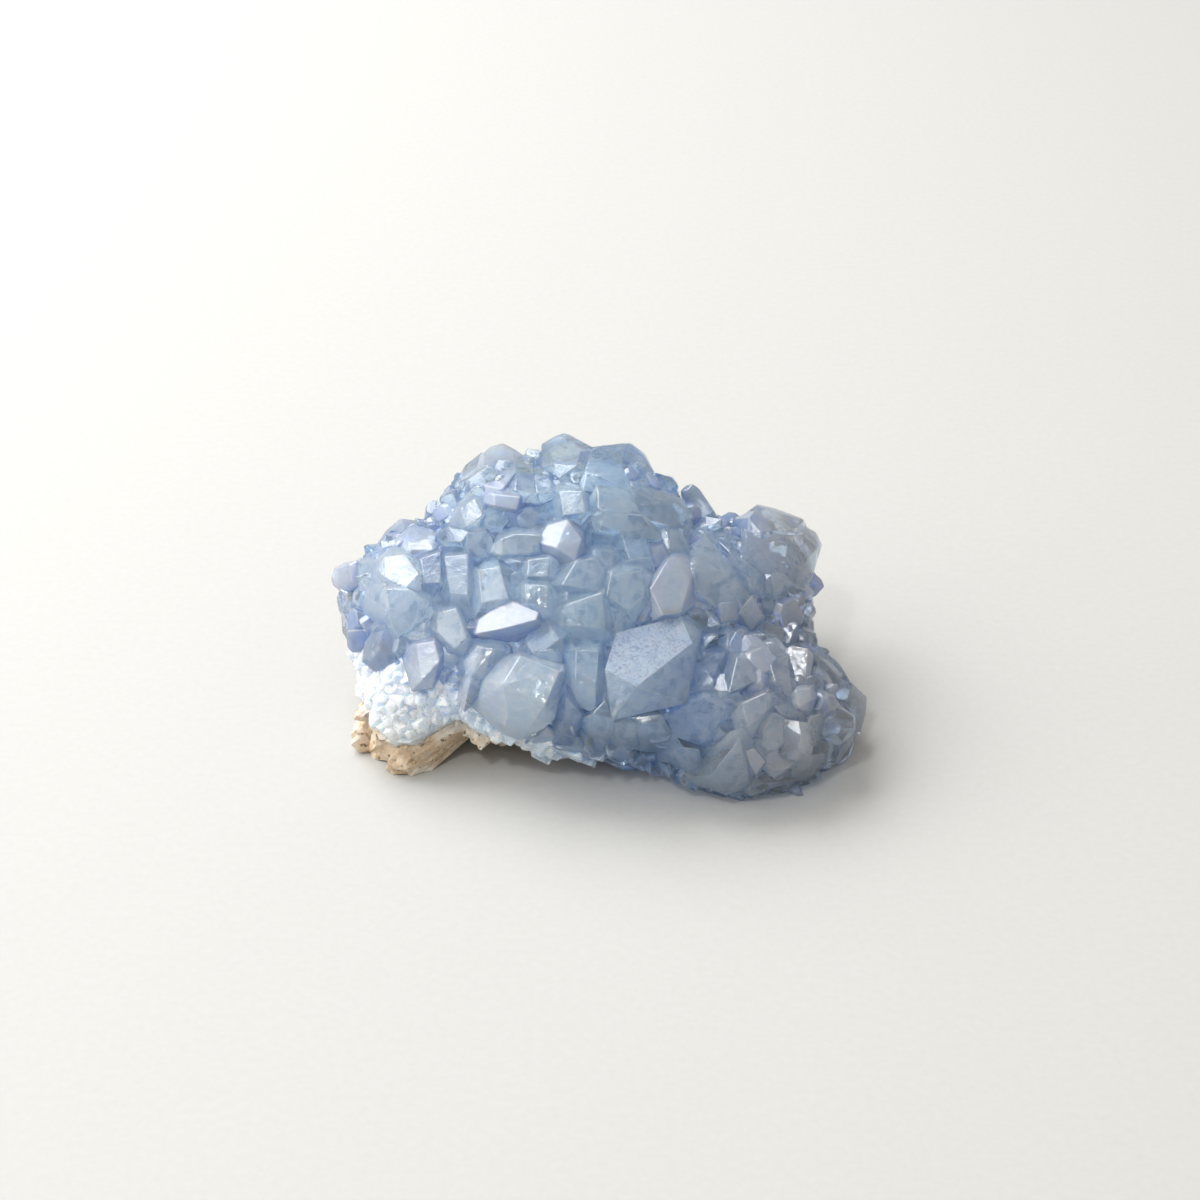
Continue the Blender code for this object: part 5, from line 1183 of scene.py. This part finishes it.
def celestite(name, transmission, roughness, whiten, crevice_shade_colour, pitted=0.0):
    nodes = Nodes(name)
    shader = nodes.shader
    veils = nodes.noise(3.2, detail=5, roughness=0.55, distortion=0.5)
    veils = nodes.ramp(veils, (0.48, 0.0), (0.72, 0.45))
    crack = nodes.noise(5, detail=3, roughness=0.5, distortion=1.2)
    crack = nodes.ramp(crack, (0.485, 0.0), (0.5, 0.6), (0.515, 0.0))
    cloud = nodes.maths("ADD", nodes.maths("ADD", veils, crack), whiten, clamp=True)
    inner = nodes.noise(2.4, detail=3, roughness=0.5, distortion=1.2)
    inner = nodes.ramp(inner, (0.35, (0.84, 0.89, 0.95)), (0.62, (1.0, 1.0, 1.0)))
    tint = nodes.mix(1.0, celestite_tint(nodes, crevice_shade_colour), inner, "MULTIPLY")
    tint = nodes.mix(cloud, tint, (0.88, 0.92, 1.0))
    pits = nodes.noise(0.8, detail=4, roughness=0.65, distortion=2.0)
    pits = nodes.ramp(pits, (0.5, 0.0), (0.6, pitted))
    nodes.join(nodes.mix(pits, tint, (0.36, 0.45, 0.62)), shader.inputs["Base Color"])
    shader.inputs["Transmission Weight"].default_value = transmission
    shader.inputs["IOR"].default_value = 1.62
    shader.inputs["Subsurface Weight"].default_value = 1.0
    shader.inputs["Subsurface Radius"].default_value = (0.8, 1.0, 1.2)
    shader.inputs["Subsurface Scale"].default_value = 1.6 * MM
    wear = nodes.noise(1.4, detail=5, roughness=0.65)
    rough = nodes.ramp(wear, (0.35, roughness), (0.75, roughness + 0.2))
    nodes.join(rough, shader.inputs["Roughness"])
    ripples = nodes.noise(1.6, detail=4, roughness=0.55, stretch=(1, 1, 2.5))
    steps = nodes.bump(nodes.cells(1.3), 0.12, 0.5)
    nodes.join(nodes.bump(ripples, 0.16, 0.6, steps), shader.inputs["Normal"])
    absorption = nodes.add("ShaderNodeVolumeAbsorption")
    absorption.inputs["Color"].default_value = (0.55, 0.76, 0.94, 1)
    absorption.inputs["Density"].default_value = 14
    nodes.join(absorption.outputs[0], nodes.output.inputs["Volume"])
    return nodes.material


def celestite_looks():
    """The materials of the clear, milky, druse and etched slots, in that order."""
    return (
        # The colour in each is the tint of its painted crevice shade.
        celestite("celestite_clear", 0.89, 0.03, 0.0, (0.66, 0.79, 0.95)),
        celestite("celestite_milky", 0.76, 0.06, 0.0, (0.72, 0.83, 0.96)),
        celestite("celestite_druse", 0.3, 0.2, 0.35, (0.97, 0.95, 0.94)),
        celestite("celestite_etched", 0.74, 0.42, 0.0, (1.0, 1.0, 1.0), 0.95),
    )


def matrix_rock():
    """Tan and brown where it is bare, and pale under the crystals, whose light it gives back,
    greyer and darker toward the right, partly as painted shade.
    """
    nodes = Nodes("matrix_rock")
    shader = nodes.shader
    bare = nodes.ramp(
        nodes.noise(5, detail=7, roughness=0.68),
        (0.30, (0.36, 0.23, 0.13)),
        (0.41, (0.68, 0.50, 0.33)),
        (0.50, (0.86, 0.70, 0.52)),
        (0.60, (0.96, 0.88, 0.76)),
    )
    moss = nodes.ramp(nodes.noise(4, detail=5, roughness=0.7), (0.55, 0.0), (0.65, 0.6))
    bare = nodes.mix(moss, bare, (0.50, 0.52, 0.46))
    specks = nodes.ramp(nodes.noise(0.9, detail=2), (0.60, 0.0), (0.68, 0.9))
    bare = nodes.mix(specks, bare, (0.20, 0.13, 0.08))
    # Darker toward the right: partly painted shade on the shaded side.
    zones_and_side_light = nodes.ramp(
        sweep(nodes),
        (0.3, (1.0, 1.0, 1.0)),
        (0.65, (0.88, 0.90, 0.94)),
        (0.95, (0.74, 0.70, 0.68)),
    )
    grains = nodes.noise(2.2, detail=4, roughness=0.6, distortion=0.8)
    grains = nodes.ramp(grains, (0.38, (0.48, 0.60, 0.74)), (0.5, (0.90, 0.95, 0.98)), (0.6, 1.0))
    under = nodes.mix(1.0, zones_and_side_light, grains, "MULTIPLY")
    colour = nodes.mix(nodes.value("cover"), bare, under)
    nodes.join(colour, shader.inputs["Base Color"])
    shader.inputs["Roughness"].default_value = 0.85
    relief = nodes.noise(1.6, detail=9, roughness=0.75)
    nodes.join(nodes.bump(relief, 1.2, 0.9), shader.inputs["Normal"])
    return nodes.material


def floor_material():
    nodes = Nodes("pale_floor")
    grain = nodes.noise(1.2, detail=4)
    colour = nodes.ramp(grain, (0.3, (0.445, 0.445, 0.432)), (0.7, (0.46, 0.46, 0.447)))
    nodes.join(colour, nodes.shader.inputs["Base Color"])
    nodes.shader.inputs["Roughness"].default_value = 0.9
    nodes.shader.inputs["Specular IOR Level"].default_value = 0.1
    return nodes.material


# Pieces


def shade_by_angle(obj, angle):
    for polygon in obj.data.polygons:
        polygon.use_smooth = True
    obj.data.set_sharp_from_angle(angle=angle)


def build_rock():
    rock = shell("matrix_rock", rock_length, 7)
    cover = rock.data.attributes.new("cover", "FLOAT", "POINT")
    shares = []
    for vert in rock.data.vertices:
        inside = degrees_inside_rim((vert.co / MM - HEART).normalized())
        shares.append(smooth_share(inside / RIM_WIDTH))
    cover.data.foreach_set("value", shares)
    rock.data.materials.append(matrix_rock())
    return rock


def placed_crystals():
    placed = shaped_crystals() + front_crystals()
    placed += fill_crystals(placed, SEED, FILL_TRIES, FILL_WIDTHS, FINE_WIDTHS, FILL_SPACING)
    for crystal in placed:
        if crystal.habit == "shaped":
            crystal.width *= CROWN_GROWTH
    placed += fill_crystals(
        placed,
        LOBE_SEED,
        LOBE_TRIES,
        LOBE_WIDTHS,
        (),
        LOBE_SPACING,
        LOBE_MIDDLE,
        LOBE_SPREAD,
    )
    placed += fill_crystals(placed, SMALL_SEED, SMALL_TRIES, SMALL_WIDTHS, (), SMALL_SPACING)
    placed += fill_crystals(
        placed,
        DRUSE_SEED,
        DRUSE_TRIES,
        (),
        DRUSE_WIDTHS,
        DRUSE_SPACING,
        DRUSE_MIDDLE,
        DRUSE_SPREAD,
    )
    return placed


def mark_crust(crust):
    """Give the crust between the crystals a dark tone, painted shade in the gaps, and make it white
    on the lower left.
    """
    tones = crust.data.attributes.new("tone", "FLOAT", "FACE")
    tones.data.foreach_set("value", [CRUST_SHADE_TONE] * len(crust.data.polygons))
    for polygon in crust.data.polygons:
        if fine_grained(polygon.center / MM):
            polygon.material_index = DRUSE


def mark_relief(crust):
    """Tell at each point how far it stands out of the body, from 0 to 1, which sets where shade is
    painted low between the crystals.
    """
    points = np.empty(len(crust.data.vertices) * 3)
    crust.data.vertices.foreach_get("co", points)
    heights = outside(points.reshape(-1, 3) / MM)
    relief = crust.data.attributes.new("relief", "FLOAT", "POINT")
    relief.data.foreach_set("value", np.clip(heights / FULL_RELIEF, 0, 1))


def build_crystals():
    crust = shell("celestite_crystals", crust_length, 7)
    looks = celestite_looks()
    for look in looks:
        crust.data.materials.append(look)
    mark_crust(crust)
    grown = []
    for index, crystal in enumerate(placed_crystals()):
        grown.append(crystal_object(f"crystal_{index:04d}", crystal))
        for look in looks:
            grown[-1].data.materials.append(look)
    apply_boolean(crust, "UNION", grown)
    apply_boolean(crust, "DIFFERENCE", [space_inside()])
    keep_largest(crust)
    mark_relief(crust)
    shade_by_angle(crust, SHARP_ANGLE)
    return crust


def move_to_origin(objects):
    for obj in objects:
        obj.data.transform(Matrix.Translation(-BASE_MIDDLE * MM))


# Studio


def build_floor():
    bm = bmesh.new()
    bmesh.ops.create_circle(bm, cap_ends=True, segments=96, radius=3000)
    floor = make_object("studio_floor", bm)
    floor.data.materials.append(floor_material())


def area_light(name, place, size, power, colour):
    light = bpy.data.lights.new(name, "AREA")
    light.shape = "DISK"
    light.size = size
    light.energy = power
    light.color = colour
    obj = bpy.data.objects.new(name, light)
    obj.location = place
    obj.rotation_euler = (Vector((0, 0, 0.015)) - Vector(place)).to_track_quat("-Z", "Y").to_euler()
    bpy.context.scene.collection.objects.link(obj)


def build_lights():
    world = bpy.data.worlds.new("studio_world")
    world.use_nodes = True
    world.node_tree.nodes["Background"].inputs["Color"].default_value = (1.0, 0.965, 0.90, 1)
    world.node_tree.nodes["Background"].inputs["Strength"].default_value = 0.64
    bpy.context.scene.world = world
    area_light("key", (-0.40, 0.42, 0.62), 0.80, 10.1, (0.99, 0.99, 1.0))
    area_light("fill", (-0.65, -0.05, 0.40), 0.80, 4.4, (0.99, 0.99, 1.0))
    area_light("glint", (-0.20, -0.40, 0.62), 0.08, 1.2, (1.0, 1.0, 1.0))


def build_camera():
    data = bpy.data.cameras.new("camera")
    data.sensor_width = 36
    data.lens = data.sensor_width * EYE_DISTANCE / VIEW_WIDTH
    camera = bpy.data.objects.new("camera", data)
    camera.location = (PLANE_MIDDLE - BASE_MIDDLE + TOWARD * EYE_DISTANCE) * MM
    camera.rotation_euler = (-TOWARD).to_track_quat("-Z", "Y").to_euler()
    bpy.context.scene.collection.objects.link(camera)
    bpy.context.scene.camera = camera


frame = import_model()

rock = build_rock()
crystals = build_crystals()
move_to_origin([rock, crystals])
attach(crystals, "root")
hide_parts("crystals")
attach(rock, "root")
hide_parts("matrix")

build_floor()
build_lights()
build_camera()
bpy.context.scene.view_settings.view_transform = "Standard"
